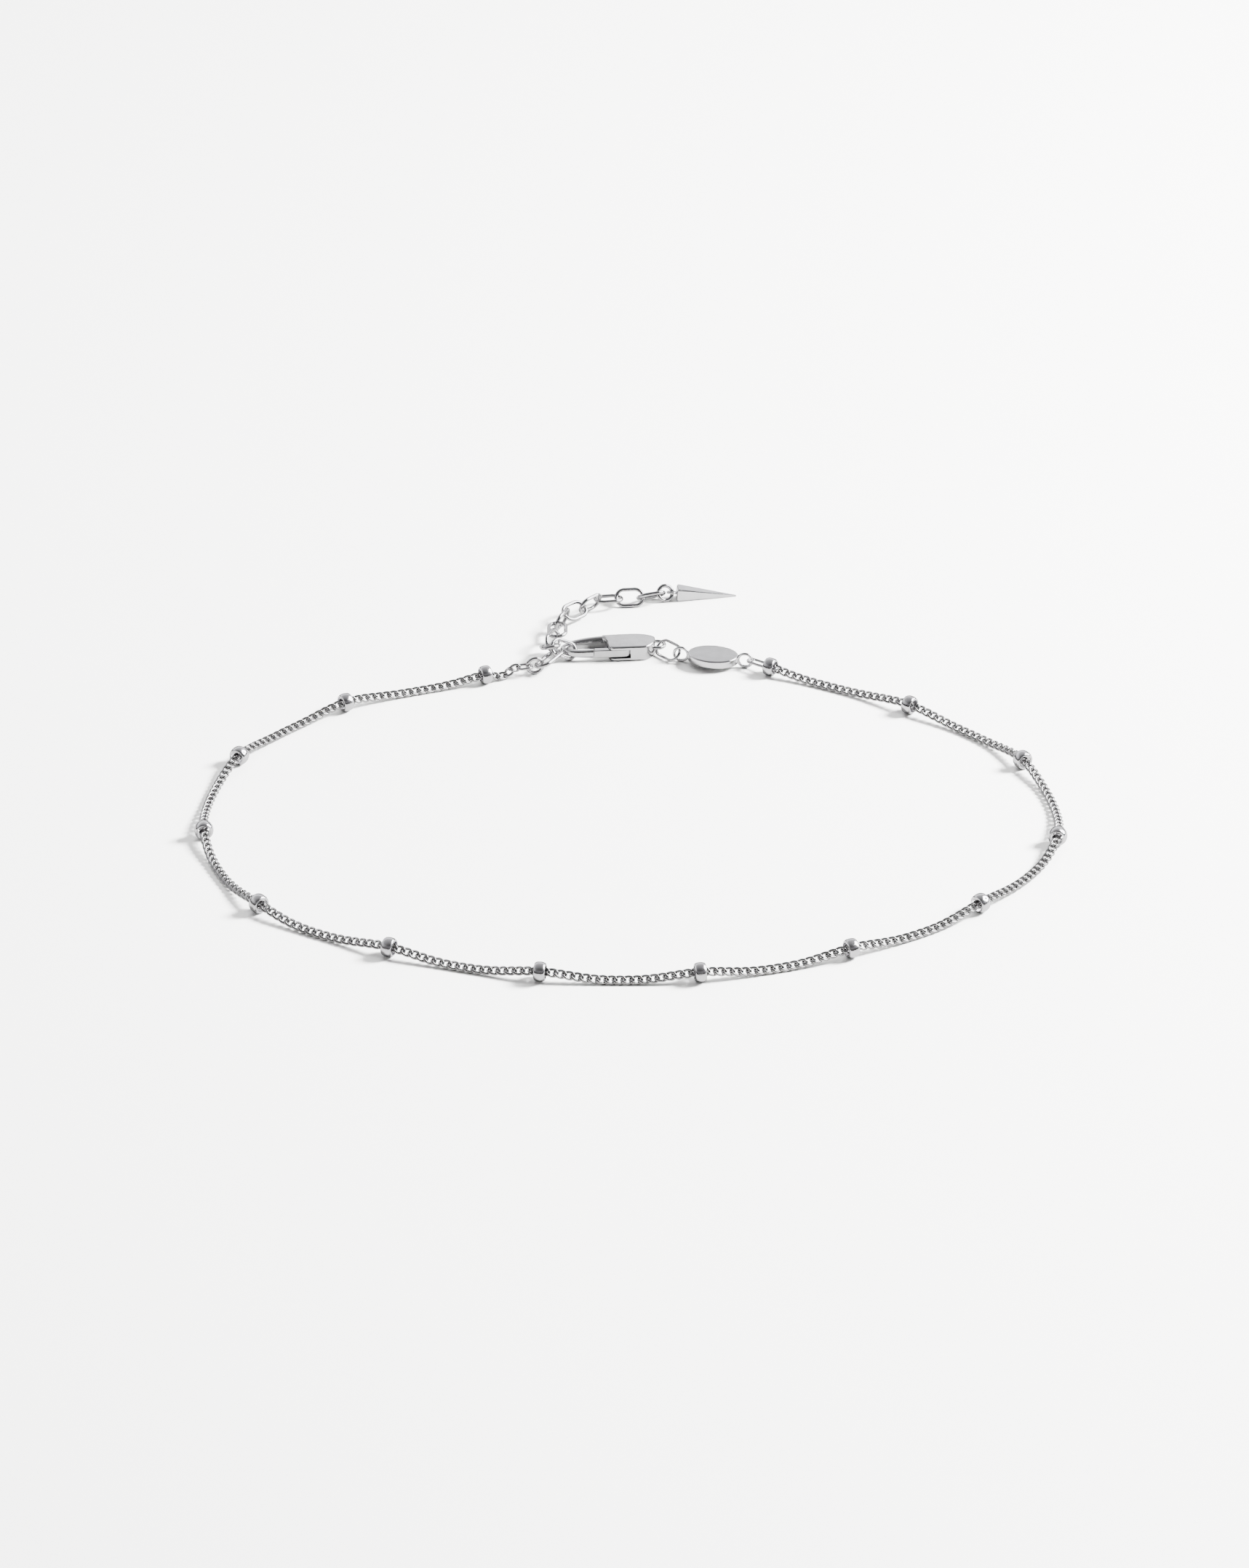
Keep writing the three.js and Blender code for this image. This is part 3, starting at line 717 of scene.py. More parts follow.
@dataclass
class Beads:
    """The rondelle beads: turned and polished, each drilled for the chain.

    Attributes:
        diameter: outside diameter.
        width: along the hole.
        hole: the hole's diameter.
        swell: how square the shoulders are, from 0, square, to 1, round.
        shoulder: where the profile meets the end faces, in degrees from the bead's middle.
        rows: the number of rings along the bead.
        sides: the number of faces round it.
    """

    diameter: float = 1.85 * MM
    width: float = 1.06 * MM
    hole: float = 1.27 * MM
    swell: float = 0.6
    shoulder: float = 85.0
    rows: int = 20
    sides: int = 44

    def bead_mesh(self) -> bpy.types.Mesh:
        """Returns one bead with its hole along X."""

        def build(work: bmesh.types.BMesh) -> None:
            """Turns the bead's profile round the hole."""
            profile = [(-self.width / 2, self.hole / 2)]
            for row in range(self.rows):
                angle = math.radians(self.shoulder * (2 * row / (self.rows - 1) - 1))
                rise = math.cos(angle) ** self.swell
                radius = self.hole / 2 + (self.diameter - self.hole) / 2 * rise
                profile.append((self.width / 2 * math.sin(angle), radius))
            profile.append((self.width / 2, self.hole / 2))
            rings = []
            for along, radius in profile:
                ring = []
                for side in range(self.sides):
                    angle = 2 * math.pi * side / self.sides
                    ring.append(work.verts.new((along, radius * math.cos(angle), radius * math.sin(angle))))
                rings.append(ring)
            bridge(work, rings, close=True)

        return mesh_from("bead", build, smooth_angle=70)

    @staticmethod
    def tree() -> bpy.types.NodeTree:
        """Builds the node tree that threads beads on the chain.

        Returns:
            A tree that puts a bead at each vertex, turned to the vertex's attribute "along".
        """
        tree, given, threaded = repeat_tree("thread_beads", "Bead", {})
        along = tree.nodes.new("GeometryNodeInputNamedAttribute")
        along.data_type = "FLOAT_VECTOR"
        along.inputs["Name"].default_value = "along"
        turn = tree.nodes.new("FunctionNodeAlignRotationToVector")
        turn.axis = "X"
        join_nodes(
            tree,
            (given, "Geometry", threaded, "Points"),
            (along, "Attribute", turn, "Vector"),
            (turn, "Rotation", threaded, "Rotation"),
        )
        return tree

    def thread(self, route: Route, material: bpy.types.Material) -> bpy.types.Object:
        """Threads the beads on the chain.

        Args:
            route: the chain's line.
            material: the beads' finish.

        Returns:
            The beads.
        """
        places = bpy.data.meshes.new("bead_places")
        places.from_pydata([tuple(bead) for bead in route.beads], [], [])
        along = places.attributes.new("along", "FLOAT_VECTOR", "POINT")
        for number, row in enumerate(along.data):
            row.vector = route.tangent(number)
        bead = pattern_object(self.bead_mesh())
        mesh = run_tree("beads", places, self.tree(), {"Bead": bead, "Material": material})
        bpy.data.objects.remove(bead)
        return add_piece("beads", mesh, Body.ANKLET, BEAD_NODES)


@dataclass
class Findings:
    """The loose rings and links: the chain's end, the extender, and what holds the clasp and the tag.

    Attributes:
        end_ring: the jump ring at the chain's free end.
        chain_end_link: the small link between it and the chain.
        first_link: the extender's first, longer link.
        extender_link: each further link of the extender.
        drop_ring: the ring at the extender's end.
        clasp_link: the link between the clasp and the tag.
        tag_link: the link between the tag and the last bead.
        extender_links: the number of links in the extender.
    """

    end_ring: WireLoop = WireLoop(1.95 * MM, 1.95 * MM, 0.35 * MM)
    chain_end_link: WireLoop = WireLoop(1.75 * MM, 1.2 * MM, 0.26 * MM)
    first_link: WireLoop = WireLoop(4.0 * MM, 2.1 * MM, 0.4 * MM)
    extender_link: WireLoop = WireLoop(3.15 * MM, 2.1 * MM, 0.38 * MM)
    drop_ring: WireLoop = WireLoop(1.9 * MM, 1.9 * MM, 0.4 * MM)
    clasp_link: WireLoop = WireLoop(3.3 * MM, 2.0 * MM, 0.3 * MM)
    tag_link: WireLoop = WireLoop(3.7 * MM, 1.05 * MM, 0.28 * MM)
    extender_links: int = 11

    def add(self, material: bpy.types.Material) -> None:
        """Makes each ring and link over its solid."""
        loops = {
            "end_ring": self.end_ring,
            "chain_end_link": self.chain_end_link,
            "extender_link_01": self.first_link,
            "drop_ring": self.drop_ring,
            "clasp_link": self.clasp_link,
            "tag_link": self.tag_link,
        }
        for number in range(2, self.extender_links + 1):
            loops[f"extender_link_{number:02d}"] = self.extender_link
        for node, loop in loops.items():
            mesh = loop.mesh(node + "_wire", own_frame(node))
            mesh.materials.append(material)
            add_piece(node + "_wire", mesh, Body.ANKLET, [node])


@dataclass
class SpikeDrop:
    """The four-sided spike with the bail soldered to its base.

    Attributes:
        length: from base to tip.
        base: the base's width.
        tip: the tip's width.
        edge: the rounding round the base.
        corner: the rounding of the long edges, as a share of half the width.
        hold: the distance of the faces' outer edges from the roundings, which keeps the faces flat.
        most_hold: the most that this distance may be, as a share of half the width.
        steps: the number of faces across a rounding.
        bail: the wire loop at the base.
        bail_roll: how far the bail is turned round the spike, in degrees.
        heading: the way the spike points, in degrees.
        solder: how far the bail goes into the base.
    """

    length: float = 6.2 * MM
    base: float = 1.45 * MM
    tip: float = 0.14 * MM
    edge: float = 0.26 * MM
    corner: float = 0.26
    hold: float = 0.03 * MM
    most_hold: float = 0.25
    steps: int = 6
    bail: WireLoop = WireLoop(1.22 * MM, 1.22 * MM, 0.26 * MM)
    bail_roll: float = -20.0
    heading: float = 5.0
    solder: float = 0.16 * MM

    def add(self, material: bpy.types.Material) -> bpy.types.Object:
        """Makes the drop over its solid.

        Args:
            material: the metal's finish.

        Returns:
            The drop.
        """
        low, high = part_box("spike_drop")
        taper = math.atan((self.base - self.tip) / 2 / self.length)
        turn = Euler((0, taper, math.radians(self.heading))).to_matrix().to_4x4()
        tip_reach = turn @ Vector((self.length, 0, 0))
        points = node_points("spike_drop")
        top_y = points[points[:, 2].argmax(), 1]
        inwards = math.copysign(self.base / 2, (low.y + high.y) / 2 - top_y)
        base = Vector((high.x - tip_reach.x, top_y + inwards, self.base / 2 * math.cos(taper)))
        place = Matrix.Translation(base) @ turn

        def build(work: bmesh.types.BMesh) -> None:
            """Adds the pyramid and the bail."""
            blunting = self.tip / 4
            rings = []
            for step in range(self.steps + 1):
                angle = math.radians(90 * step / self.steps)
                along = self.edge * (1 - math.cos(angle))
                rings.append(self.section(work, place, along, self.edge * (1 - math.sin(angle))))
            rings.append(self.section(work, place, self.edge + self.hold, 0))
            rings.append(self.section(work, place, self.length - blunting, 0))
            rings.append(self.section(work, place, self.length, blunting))
            bridge(work, rings, close=False)
            reach = Matrix.Translation((self.solder - self.bail.length / 2, 0, 0))
            roll = Matrix.Rotation(math.radians(self.bail_roll), 4, "X")
            self.bail.add_to(work, place @ reach @ roll)

        mesh = mesh_from("spike_drop_metal", build, smooth_angle=30)
        mesh.materials.append(material)
        return add_piece("spike_drop_metal", mesh, Body.ANKLET, ["spike_drop"])

    def section(self, work: bmesh.types.BMesh, place: Matrix, along: float, inside: float) -> Ring:
        """Adds a square with rounded corners across the spike.

        Args:
            work: the bmesh that it is added to.
            place: where the spike lies.
            along: the distance from the base.
            inside: how far the square's sides lie inside the taper.

        Returns:
            The square's vertices, in order.
        """
        half = self.base / 2 - (self.base - self.tip) / 2 * along / self.length - inside
        radius = self.corner * half
        hold = min(self.hold, self.most_hold * half)
        corner = [(radius, -hold), *arc((0, 0), radius, 0, math.pi / 2, self.steps), (-hold, radius)]
        ring = []
        for quarter in range(4):
            turn = Matrix.Rotation(math.radians(90 * quarter), 2)
            for across, up in corner:
                y, z = turn @ Vector((half - radius + across, half - radius + up))
                ring.append(work.verts.new(place @ Vector((along, y, z))))
        return ring


@dataclass
class Tag:
    """The flat oval tag with a satin face, a rounded rim and an upright wire ear at each end.

    Attributes:
        length: outside length of the oval.
        width: its width.
        thickness: its thickness.
        rim: the rounding of its rim.
        ear: the wire loop at each end.
        solder: how far an ear goes into the rim.
        sides: the number of sides round the oval.
        turns: the number of faces across the rim's rounding.
    """

    length: float = 5.15 * MM
    width: float = 3.5 * MM
    thickness: float = 0.85 * MM
    rim: float = 0.16 * MM
    ear: WireLoop = WireLoop(1.72 * MM, 1.72 * MM, 0.3 * MM)
    solder: float = 0.16 * MM
    sides: int = 96
    turns: int = 6

    def profile(self) -> list[tuple[float, float]]:
        """Returns the rim as steps of how far it is inside the outline, and its height over the middle."""
        half = self.thickness / 2
        steps = []
        for sign in (-1, 1):
            for turn in range(self.turns + 1):
                share = turn / self.turns if sign > 0 else 1 - turn / self.turns
                angle = math.radians(90 * share)
                height = half - self.rim * (1 - math.sin(angle))
                steps.append((self.rim * (1 - math.cos(angle)), sign * height))
        return steps

    def add(self, rim: bpy.types.Material, face: bpy.types.Material) -> bpy.types.Object:
        """Makes the tag over its solid.

        Args:
            rim: the finish of the rim and the ears.
            face: the finish of the flat faces.

        Returns:
            The tag.
        """
        long_way = own_frame("tag").col[0]
        heading = math.atan(long_way.y / long_way.x)
        place = Matrix.Translation(Route.middle("tag")) @ Matrix.Rotation(heading, 4, "Z")

        def build(work: bmesh.types.BMesh) -> None:
            """Adds the oval plate and both ears."""
            rings = []
            for inside, height in self.profile():
                ring = []
                for side in range(self.sides):
                    angle = 2 * math.pi * side / self.sides
                    x = (self.length / 2 - inside) * math.cos(angle)
                    y = (self.width / 2 - inside) * math.sin(angle)
                    ring.append(work.verts.new(place @ Vector((x, y, height))))
                rings.append(ring)
            bridge(work, rings, close=False)
            reach = self.length / 2 + self.ear.length / 2 - self.solder
            upright = Matrix.Rotation(math.pi / 2, 4, "X")
            for side in (-1, 1):
                self.ear.add_to(work, place @ Matrix.Translation((side * reach, 0, 0)) @ upright)

        mesh = mesh_from("tag_metal", build, smooth_angle=40)
        mesh.materials.append(rim)
        mesh.materials.append(face)
        face_slot = len(mesh.materials) - 1
        for polygon in mesh.polygons:
            if len(polygon.vertices) == self.sides:
                polygon.material_index = face_slot
        return add_piece("tag_metal", mesh, Body.ANKLET, ["tag"])


def arc(middle: Spot, radius: float, start: float, end: float, steps: int) -> Outline:
    """Returns points on an arc, both its ends among them.

    Args:
        middle: the arc's middle.
        radius: its radius.
        start: the angle where it starts, in radians.
        end: the angle where it ends.
        steps: the number of its sides.

    Returns:
        The points, one more than the steps.
    """
    turn = [start + (end - start) * step / steps for step in range(steps + 1)]
    return [(middle[0] + radius * math.cos(a), middle[1] + radius * math.sin(a)) for a in turn]


def bend(start: Spot, corner: Spot, end: Spot, steps: int) -> Outline:
    """Returns points on a curve that rounds a corner.

    Args:
        start: where the curve leaves towards the corner.
        corner: the corner.
        end: where the curve arrives from the corner.
        steps: the number of its sides.

    Returns:
        The points, without the start.
    """
    points = []
    for step in range(1, steps + 1):
        t = step / steps
        weights = ((1 - t) ** 2, 2 * t * (1 - t), t**2)
        x = sum(w * point[0] for w, point in zip(weights, (start, corner, end)))
        y = sum(w * point[1] for w, point in zip(weights, (start, corner, end)))
        points.append((x, y))
    return points


def inset(outline: Outline, distance: float, least_cosine: float = 0.5) -> Outline:
    """Moves a counter-clockwise outline inwards.

    Args:
        outline: the outline's corners.
        distance: how far its sides move.
        least_cosine: keeps a sharp corner from moving too far.

    Returns:
        The new corners, one for each old one.
    """
    moved = []
    count = len(outline)
    for i, (x, y) in enumerate(outline):
        next_x, next_y = outline[(i + 1) % count]
        before = Vector((x - outline[i - 1][0], y - outline[i - 1][1])).normalized()
        after = Vector((next_x - x, next_y - y)).normalized()
        inward = Vector((-before.y - after.y, before.x + after.x)).normalized()
        reach = distance / max(least_cosine, inward.dot(Vector((-after.y, after.x))))
        moved.append((x + inward.x * reach, y + inward.y * reach))
    return moved


def plate(outline: Outline, height: float, edge: float, steps: int = 6) -> bpy.types.Object:
    """Makes a flat piece cut out in plan, centred on its middle height, its edges rounded.

    Args:
        outline: its counter-clockwise outline.
        height: its height.
        edge: the rounding of its edges, or 0.
        steps: the number of faces across a rounding.

    Returns:
        The piece, as an object for cutting and joining.
    """
    levels = [(0.0, -height / 2), (0.0, height / 2)]
    if edge:
        turn = [math.radians(90 * step / steps) for step in range(steps + 1)]
        low = [(edge * (1 - math.sin(a)), -height / 2 + edge * (1 - math.cos(a))) for a in turn]
        levels = low + [(distance, -z) for distance, z in reversed(low)]

    def build(work: bmesh.types.BMesh) -> None:
        """Stacks the insets of the outline."""
        rings = []
        for distance, z in levels:
            rings.append([work.verts.new((x, y, z)) for x, y in inset(outline, distance)])
        bridge(work, rings, close=False)

    return pattern_object(mesh_from("plate", build))


def combine(
    first: bpy.types.Object, others: list[tuple[Operation, bpy.types.Object]], name: str
) -> bpy.types.Mesh:
    """Cuts and joins solids.

    Args:
        first: the solid to start with.
        others: each further solid, with what is done with it.
        name: the new mesh's name.

    Returns:
        The resulting mesh. The solids are removed.
    """
    for operation, other in others:
        modifier = first.modifiers.new(operation.name, "BOOLEAN")
        modifier.operation = operation.value
        modifier.solver = "EXACT"
        modifier.object = other
    bpy.context.view_layer.update()
    mesh = bpy.data.meshes.new_from_object(first.evaluated_get(bpy.context.evaluated_depsgraph_get()))
    mesh.name = name
    for solid in [first, *(other for _, other in others)]:
        bpy.data.objects.remove(solid)
    return mesh


@dataclass
class Clasp:
    """The trigger clasp: a cast body with a tapering hook, a gate that swings on a pin, and a ring.

    Sizes are in millimetres in the clasp's own plan, its nose at the left and its middle line along X.

    Attributes:
        heading: the way that the ring's end points, in degrees.
        pivot: the pin's place.
        thickness: the body's height.
        half_width: from the middle line to the straight front.
        front: the start, the middle and the end of the straight front. The back is widest over its middle.
        body_end: where the neck ends in the ring.
        end_bulge: how far the neck's end bulges.
        neck_corner: where the front's line turns in to the neck.
        back_corner: the corner that the neck's line rounds on its way to the back.
        back: the back, from past its widest place to the hook's root.
        mouth: the line of the mouth's end, and where its rounded corner starts over the middle line.
        cheek: the thickness of a cheek, over or under the gate.
        body_edge: the rounding of the body's edges.
        outside: a distance past the body's sides, for cuts.
        arm_slot: the left, right and back ends of the room for the gate's arm.
        boss_gap: the room round the gate's boss.
        tab_room: the room for the tab before the pin and behind the boss.
        hook_heights: the hook's height at its root, its nose and its tip.
        hook_widths: its width at its root and its tip.
        hook_line: the middle of the hook, from its root to its tip.
        hook_power: how square its section is. 2 is round.
        hook_steps: the number of places along the hook.
        hook_sides: the number of faces round it.
        near: how far apart two places are taken for the hook's direction, as a share of its length.
        boss: the radius of the gate's boss.
        boss_start: where the boss leaves the arm's front, in degrees round the pin.
        pin_hole: the radius of the hole for the pin.
        gate_front: the line of the arm's front.
        gate_front_bend: the front's middle, its end, and the corner between it and the boss.
        gate_back: the line of the arm's back.
        gate_back_bend: where the back widens to the boss.
        gate_tip: the arm's end.
        gate_edge: the rounding of the gate's edges.
        gate_height: its height.
        tab: the left, right and far sides of the thumb tab.
        tab_corner: the rounding of its corners.
        ring: the wire loop at the body's end.
        ring_place: its middle.
        sharp: edges that turn by more than this, in degrees, are shaded sharp.
    """

    heading: float = 4.0
    pivot: Spot = (7.3, -0.35)
    thickness: float = 1.64
    half_width: float = 1.45
    front: tuple[float, float, float] = (5.4, 6.8, 8.2)
    body_end: float = 9.6
    end_bulge: float = 0.04
    neck_corner: float = 9.13
    back_corner: Spot = (8.67, 1.55)
    back: tuple[Spot, ...] = ((5.5, 1.42), (4.3, 1.37), (4.3, 0.93))
    mouth: Spot = (4.75, 0.61)
    cheek: float = 0.33
    body_edge: float = 0.2
    outside: float = 3.0
    arm_slot: tuple[float, float, float] = (4.2, 7.05, 0.75)
    boss_gap: float = 0.1
    tab_room: tuple[float, float] = (1.0, 0.4)
    hook_heights: tuple[float, float, float] = (1.56, 0.62, 0.86)
    hook_widths: tuple[float, float] = (0.64, 0.58)
    hook_line: tuple[Spot, ...] = (
        (5.4, 1.1), (3.28, 1.15), (1.44, 0.85), (0.32, 0.0), (1.05, -0.75), (2.1, -1.0), (3.28, -1.0),
    )
    hook_power: float = 3.2
    hook_steps: int = 64
    hook_sides: int = 28
    near: float = 0.004
    boss: float = 0.8
    boss_start: float = -110.0
    pin_hole: float = 0.36
    gate_front: float = -1.31
    gate_front_bend: tuple[float, float, float] = (4.8, 6.2, 6.75)
    gate_back: float = -0.69
    gate_back_bend: float = 5.2
    gate_tip: float = 3.38
    gate_edge: float = 0.09
    gate_height: float = 0.86
    tab: tuple[float, float, float] = (6.75, 7.75, 1.7)
    tab_corner: float = 0.15
    ring: WireLoop = WireLoop(1.8, 1.8, 0.37)
    ring_place: Spot = (9.85, 0.33)
    sharp: float = 32.0

    def place(self) -> Matrix:
        """Returns the matrix from the clasp's own plan to the model."""
        joints = frame["record"]["behaviour"]["joints"]
        hinge = next(joint["pos_m"] for joint in joints if joint["name"] == "gate_hinge")
        turn = Matrix.Rotation(math.radians(self.heading), 4, "Z")
        from_pivot = Matrix.Translation((-self.pivot[0], -self.pivot[1], 0))
        return Matrix.Translation(hinge) @ turn @ Matrix.Scale(MM, 4) @ from_pivot

    def body_outline(self) -> Outline:
        """Returns the cheeks and the neck in plan."""
        w, ring_line, neck = self.half_width, self.ring_place[1], self.ring.wire
        neck_front, neck_back = (self.body_end, ring_line - neck), (self.body_end, ring_line + neck)
        mouth, rounding = self.mouth
        points = [(x, -w) for x in self.front]
        points += bend(points[-1], (self.neck_corner, -w), neck_front, steps=14)
        points += bend(neck_front, (self.body_end + self.end_bulge, ring_line), neck_back, steps=4)
        points += bend(neck_back, self.back_corner, (self.front[1], w), steps=18)
        points += self.back
        points += bend(self.back[-1], (mouth, rounding), (mouth, 0.0), steps=8)
        points += bend((mouth, 0.0), (mouth, -w), points[0], steps=12)[:-1]
        return points

    def slot_outlines(self) -> list[Outline]:
        """Returns the room for the gate's arm, for its boss and for its tab."""
        x, y = self.pivot
        boss = arc(self.pivot, self.boss + self.boss_gap, 0, math.tau, steps=40)[:-1]
        left, right, back = self.arm_slot
        arm = [(left, -self.outside), (right, -self.outside), (right, back), (left, back)]
        near, far = x - self.tab_room[0], x + self.boss + self.tab_room[1]
        tab = [(near, y), (far, y), (far, self.outside), (near, self.outside)]
        return [arm, boss, tab]

    def hook_place(self, share: float) -> Vector:
        """Returns the place at a share of the way along the smooth line through the hook's points."""
        line = [Vector((x, y, 0)) for x, y in self.hook_line]
        along = share * (len(line) - 1)
        index = min(int(along), len(line) - 2)
        t = along - index
        a, b = line[index], line[index + 1]
        before = line[index - 1] if index > 0 else 2 * a - b
        after = line[index + 2] if index + 2 < len(line) else 2 * b - a
        square = (2 * before - 5 * a + 4 * b - after) * t**2
        cube = (3 * a - before - 3 * b + after) * t**3
        return 0.5 * (2 * a + (b - before) * t + square + cube)

    def hook(self) -> bpy.types.Object:
        """Sweeps the hook's bar, which thins from the body to the nose and thickens to the tip."""

        def build(work: bmesh.types.BMesh) -> None:
            """Adds a rounded section at each step."""
            root, nose, tip = self.hook_heights
            start_width, end_width = self.hook_widths
            power = self.hook_power
            rings = []
            for step in range(self.hook_steps + 1):
                share = step / self.hook_steps
                middle = self.hook_place(share)
                ahead = self.hook_place(min(1, share + self.near))
                along = (ahead - self.hook_place(max(0, share - self.near))).normalized()
                across = Vector((along.y, -along.x, 0))
                half = (start_width + (end_width - start_width) * share) / 2
                tall = (nose + ((root if share < 0.5 else tip) - nose) * abs(2 * share - 1)) / 2
                ring = []
                for side in range(self.hook_sides):
                    angle = math.tau * side / self.hook_sides
                    x, z = math.cos(angle), math.sin(angle)
                    square = (abs(x) ** power + abs(z) ** power) ** (-1 / power)
                    up = Vector((0, 0, tall * z * square))
                    ring.append(work.verts.new(middle + across * half * x * square + up))
                rings.append(ring)
            bridge(work, rings, close=False)

        return pattern_object(mesh_from("hook", build))

    def body(self) -> bpy.types.Mesh:
        """Returns the body, its hook and its ring as one mesh."""
        slot_height = self.thickness - 2 * self.cheek
        ring = self.ring.mesh("ring", Matrix.Translation((*self.ring_place, 0)))
        cuts = [(Operation.CUT, plate(outline, slot_height, 0)) for outline in self.slot_outlines()]
        joins = [(Operation.JOIN, self.hook()), (Operation.JOIN, pattern_object(ring))]
        block = plate(self.body_outline(), self.thickness, self.body_edge)
        return combine(block, cuts + joins, "clasp_body_metal")

    def gate(self) -> bpy.types.Mesh:
        """Returns the gate with the hole for its pin."""
        x, y = self.pivot
        left, right, far = self.tab
        near = far - self.tab_corner
        front_middle, front_end, front_corner = self.gate_front_bend
        boss_end = math.acos((right - x) / self.boss)
        boss = arc(self.pivot, self.boss, math.radians(self.boss_start), boss_end, steps=24)
        points = [(along, self.gate_front) for along in (self.gate_tip, front_middle, front_end)]
        points += bend(points[-1], (front_corner, self.gate_front), boss[0], steps=8)[:-1] + boss
        for start, corner, end in (
            ((right, near), (right, far), (right - self.tab_corner, far)),
            ((left + self.tab_corner, far), (left, far), (left, near)),
        ):
            points += [start, *bend(start, corner, end, steps=5)]
        foot, back_end = (left, y + self.boss), (self.gate_back_bend, self.gate_back)
        points += [foot, *bend(foot, (x - self.boss, y), back_end, steps=10), (self.gate_tip, self.gate_back)]
        hole = plate(arc(self.pivot, self.pin_hole, 0, math.tau, steps=32)[:-1], self.thickness, 0)
        lever = plate(points, self.gate_height, self.gate_edge, steps=4)
        return combine(lever, [(Operation.CUT, hole)], "clasp_gate_metal")

    def add(self, body_finish: bpy.types.Material, gate_finish: bpy.types.Material) -> None:
        """Makes the clasp's body and gate over their solids and dresses the pin.

        Args:
            body_finish: the finish of the body and the pin.
            gate_finish: the finish of the gate.
        """
        for node, body, finish, mesh in (
            ("clasp_body", Body.ANKLET, body_finish, self.body()),
            ("clasp_gate", Body.GATE, gate_finish, self.gate()),
        ):
            mesh.transform(self.place())
            mesh.materials.clear()
            mesh.materials.append(finish)
            mesh.shade_smooth()
            mesh.set_sharp_from_angle(angle=math.radians(self.sharp))
            add_piece(node + "_metal", mesh, body, [node])
        pin = frame["nodes"]["clasp_pin"]
        pin.data.materials.clear()
        pin.data.materials.append(body_finish)


@dataclass
class Table:
    """The pale surface under the anklet.

    Attributes:
        half_size: half of its side, in metres.
        colour: its colour.
        fibre: the colour of its darkest fibres, as a share of the colour.
        fibre_scale: fibres per metre.
        mirrored: painted reflection shade: the table's colour as the metal mirrors it, darkened to this share
            of the colour.
        roughness: how dull it is.
        sheen: how strongly it mirrors.
    """

    half_size: float = 1.5
    colour: tuple[float, float, float] = (0.90, 0.898, 0.885)
    fibre: float = 0.985
    fibre_scale: float = 400.0
    mirrored: float = 0.31
    roughness: float = 0.6
    sheen: float = 0.2

    def add(self) -> None:
        """Makes the surface as part of the stage."""
        mesh = bpy.data.meshes.new("table")
        s = self.half_size
        mesh.from_pydata([(-s, -s, 0), (s, -s, 0), (s, s, 0), (-s, s, 0)], [], [(0, 1, 2, 3)])
        material = bpy.data.materials.new("table_paper")
        material.use_nodes = True
        nodes = material.node_tree.nodes
        shader = nodes["Principled BSDF"]
        shader.inputs["Roughness"].default_value = self.roughness
        shader.inputs["Specular IOR Level"].default_value = self.sheen
        place = nodes.new("ShaderNodeTexCoord")
        fibre = nodes.new("ShaderNodeTexNoise")
        fibre.inputs["Scale"].default_value = self.fibre_scale
        tone = nodes.new("ShaderNodeMix")
        tone.data_type = "RGBA"
        tone.inputs["A"].default_value = (*self.colour, 1)
        tone.inputs["B"].default_value = (*(self.fibre * c for c in self.colour), 1)
        # Painted reflection shade: for glossy rays the table's colour is darkened to the mirrored share, so
        # the metal mirrors a darker table than the one the camera sees.
        ray = nodes.new("ShaderNodeLightPath")
        painted_reflection_shade = nodes.new("ShaderNodeMix")
        painted_reflection_shade.data_type = "RGBA"
        painted_reflection_shade.inputs["B"].default_value = (*(self.mirrored * c for c in self.colour), 1)
        join_nodes(
            material.node_tree,
            (place, "Object", fibre, "Vector"),
            (fibre, "Fac", tone, "Factor"),
            (ray, "Is Glossy Ray", painted_reflection_shade, "Factor"),
            (tone, "Result", painted_reflection_shade, "A"),
            (painted_reflection_shade, "Result", shader, "Base Color"),
        )
        mesh.materials.append(material)
        table = bpy.data.objects.new("table", mesh)
        bpy.context.scene.collection.objects.link(table)


@dataclass(frozen=True)
class Lamp:
    """A square soft light that faces the anklet.

    Attributes:
        name: the light's name.
        azimuth: where it stands, in degrees from +X towards +Y.
        elevation: its height in degrees.
        size: its side in metres.
        watts: its power.
        mirrored: whether the metal mirrors it, or it lights the table.
        distance: how far it stands from the anklet, in metres.
    """

    name: str
    azimuth: float
    elevation: float
    size: float
    watts: float
    mirrored: bool
    distance: float = 0.6

    def add(self) -> None:
        """Puts the light into the scene."""
        data = bpy.data.lights.new(self.name, "AREA")
        data.shape = "SQUARE"
        data.size = self.size
        data.energy = self.watts
        lamp = bpy.data.objects.new(self.name, data)
        azimuth, elevation = math.radians(self.azimuth), math.radians(self.elevation)
        flat = math.cos(elevation)
        way = Vector((flat * math.cos(azimuth), flat * math.sin(azimuth), math.sin(elevation)))
        lamp.location = way * self.distance
        lamp.rotation_euler = way.to_track_quat("Z", "Y").to_euler()
        lamp.visible_glossy = self.mirrored
        lamp.visible_diffuse = not self.mirrored
        bpy.context.scene.collection.objects.link(lamp)


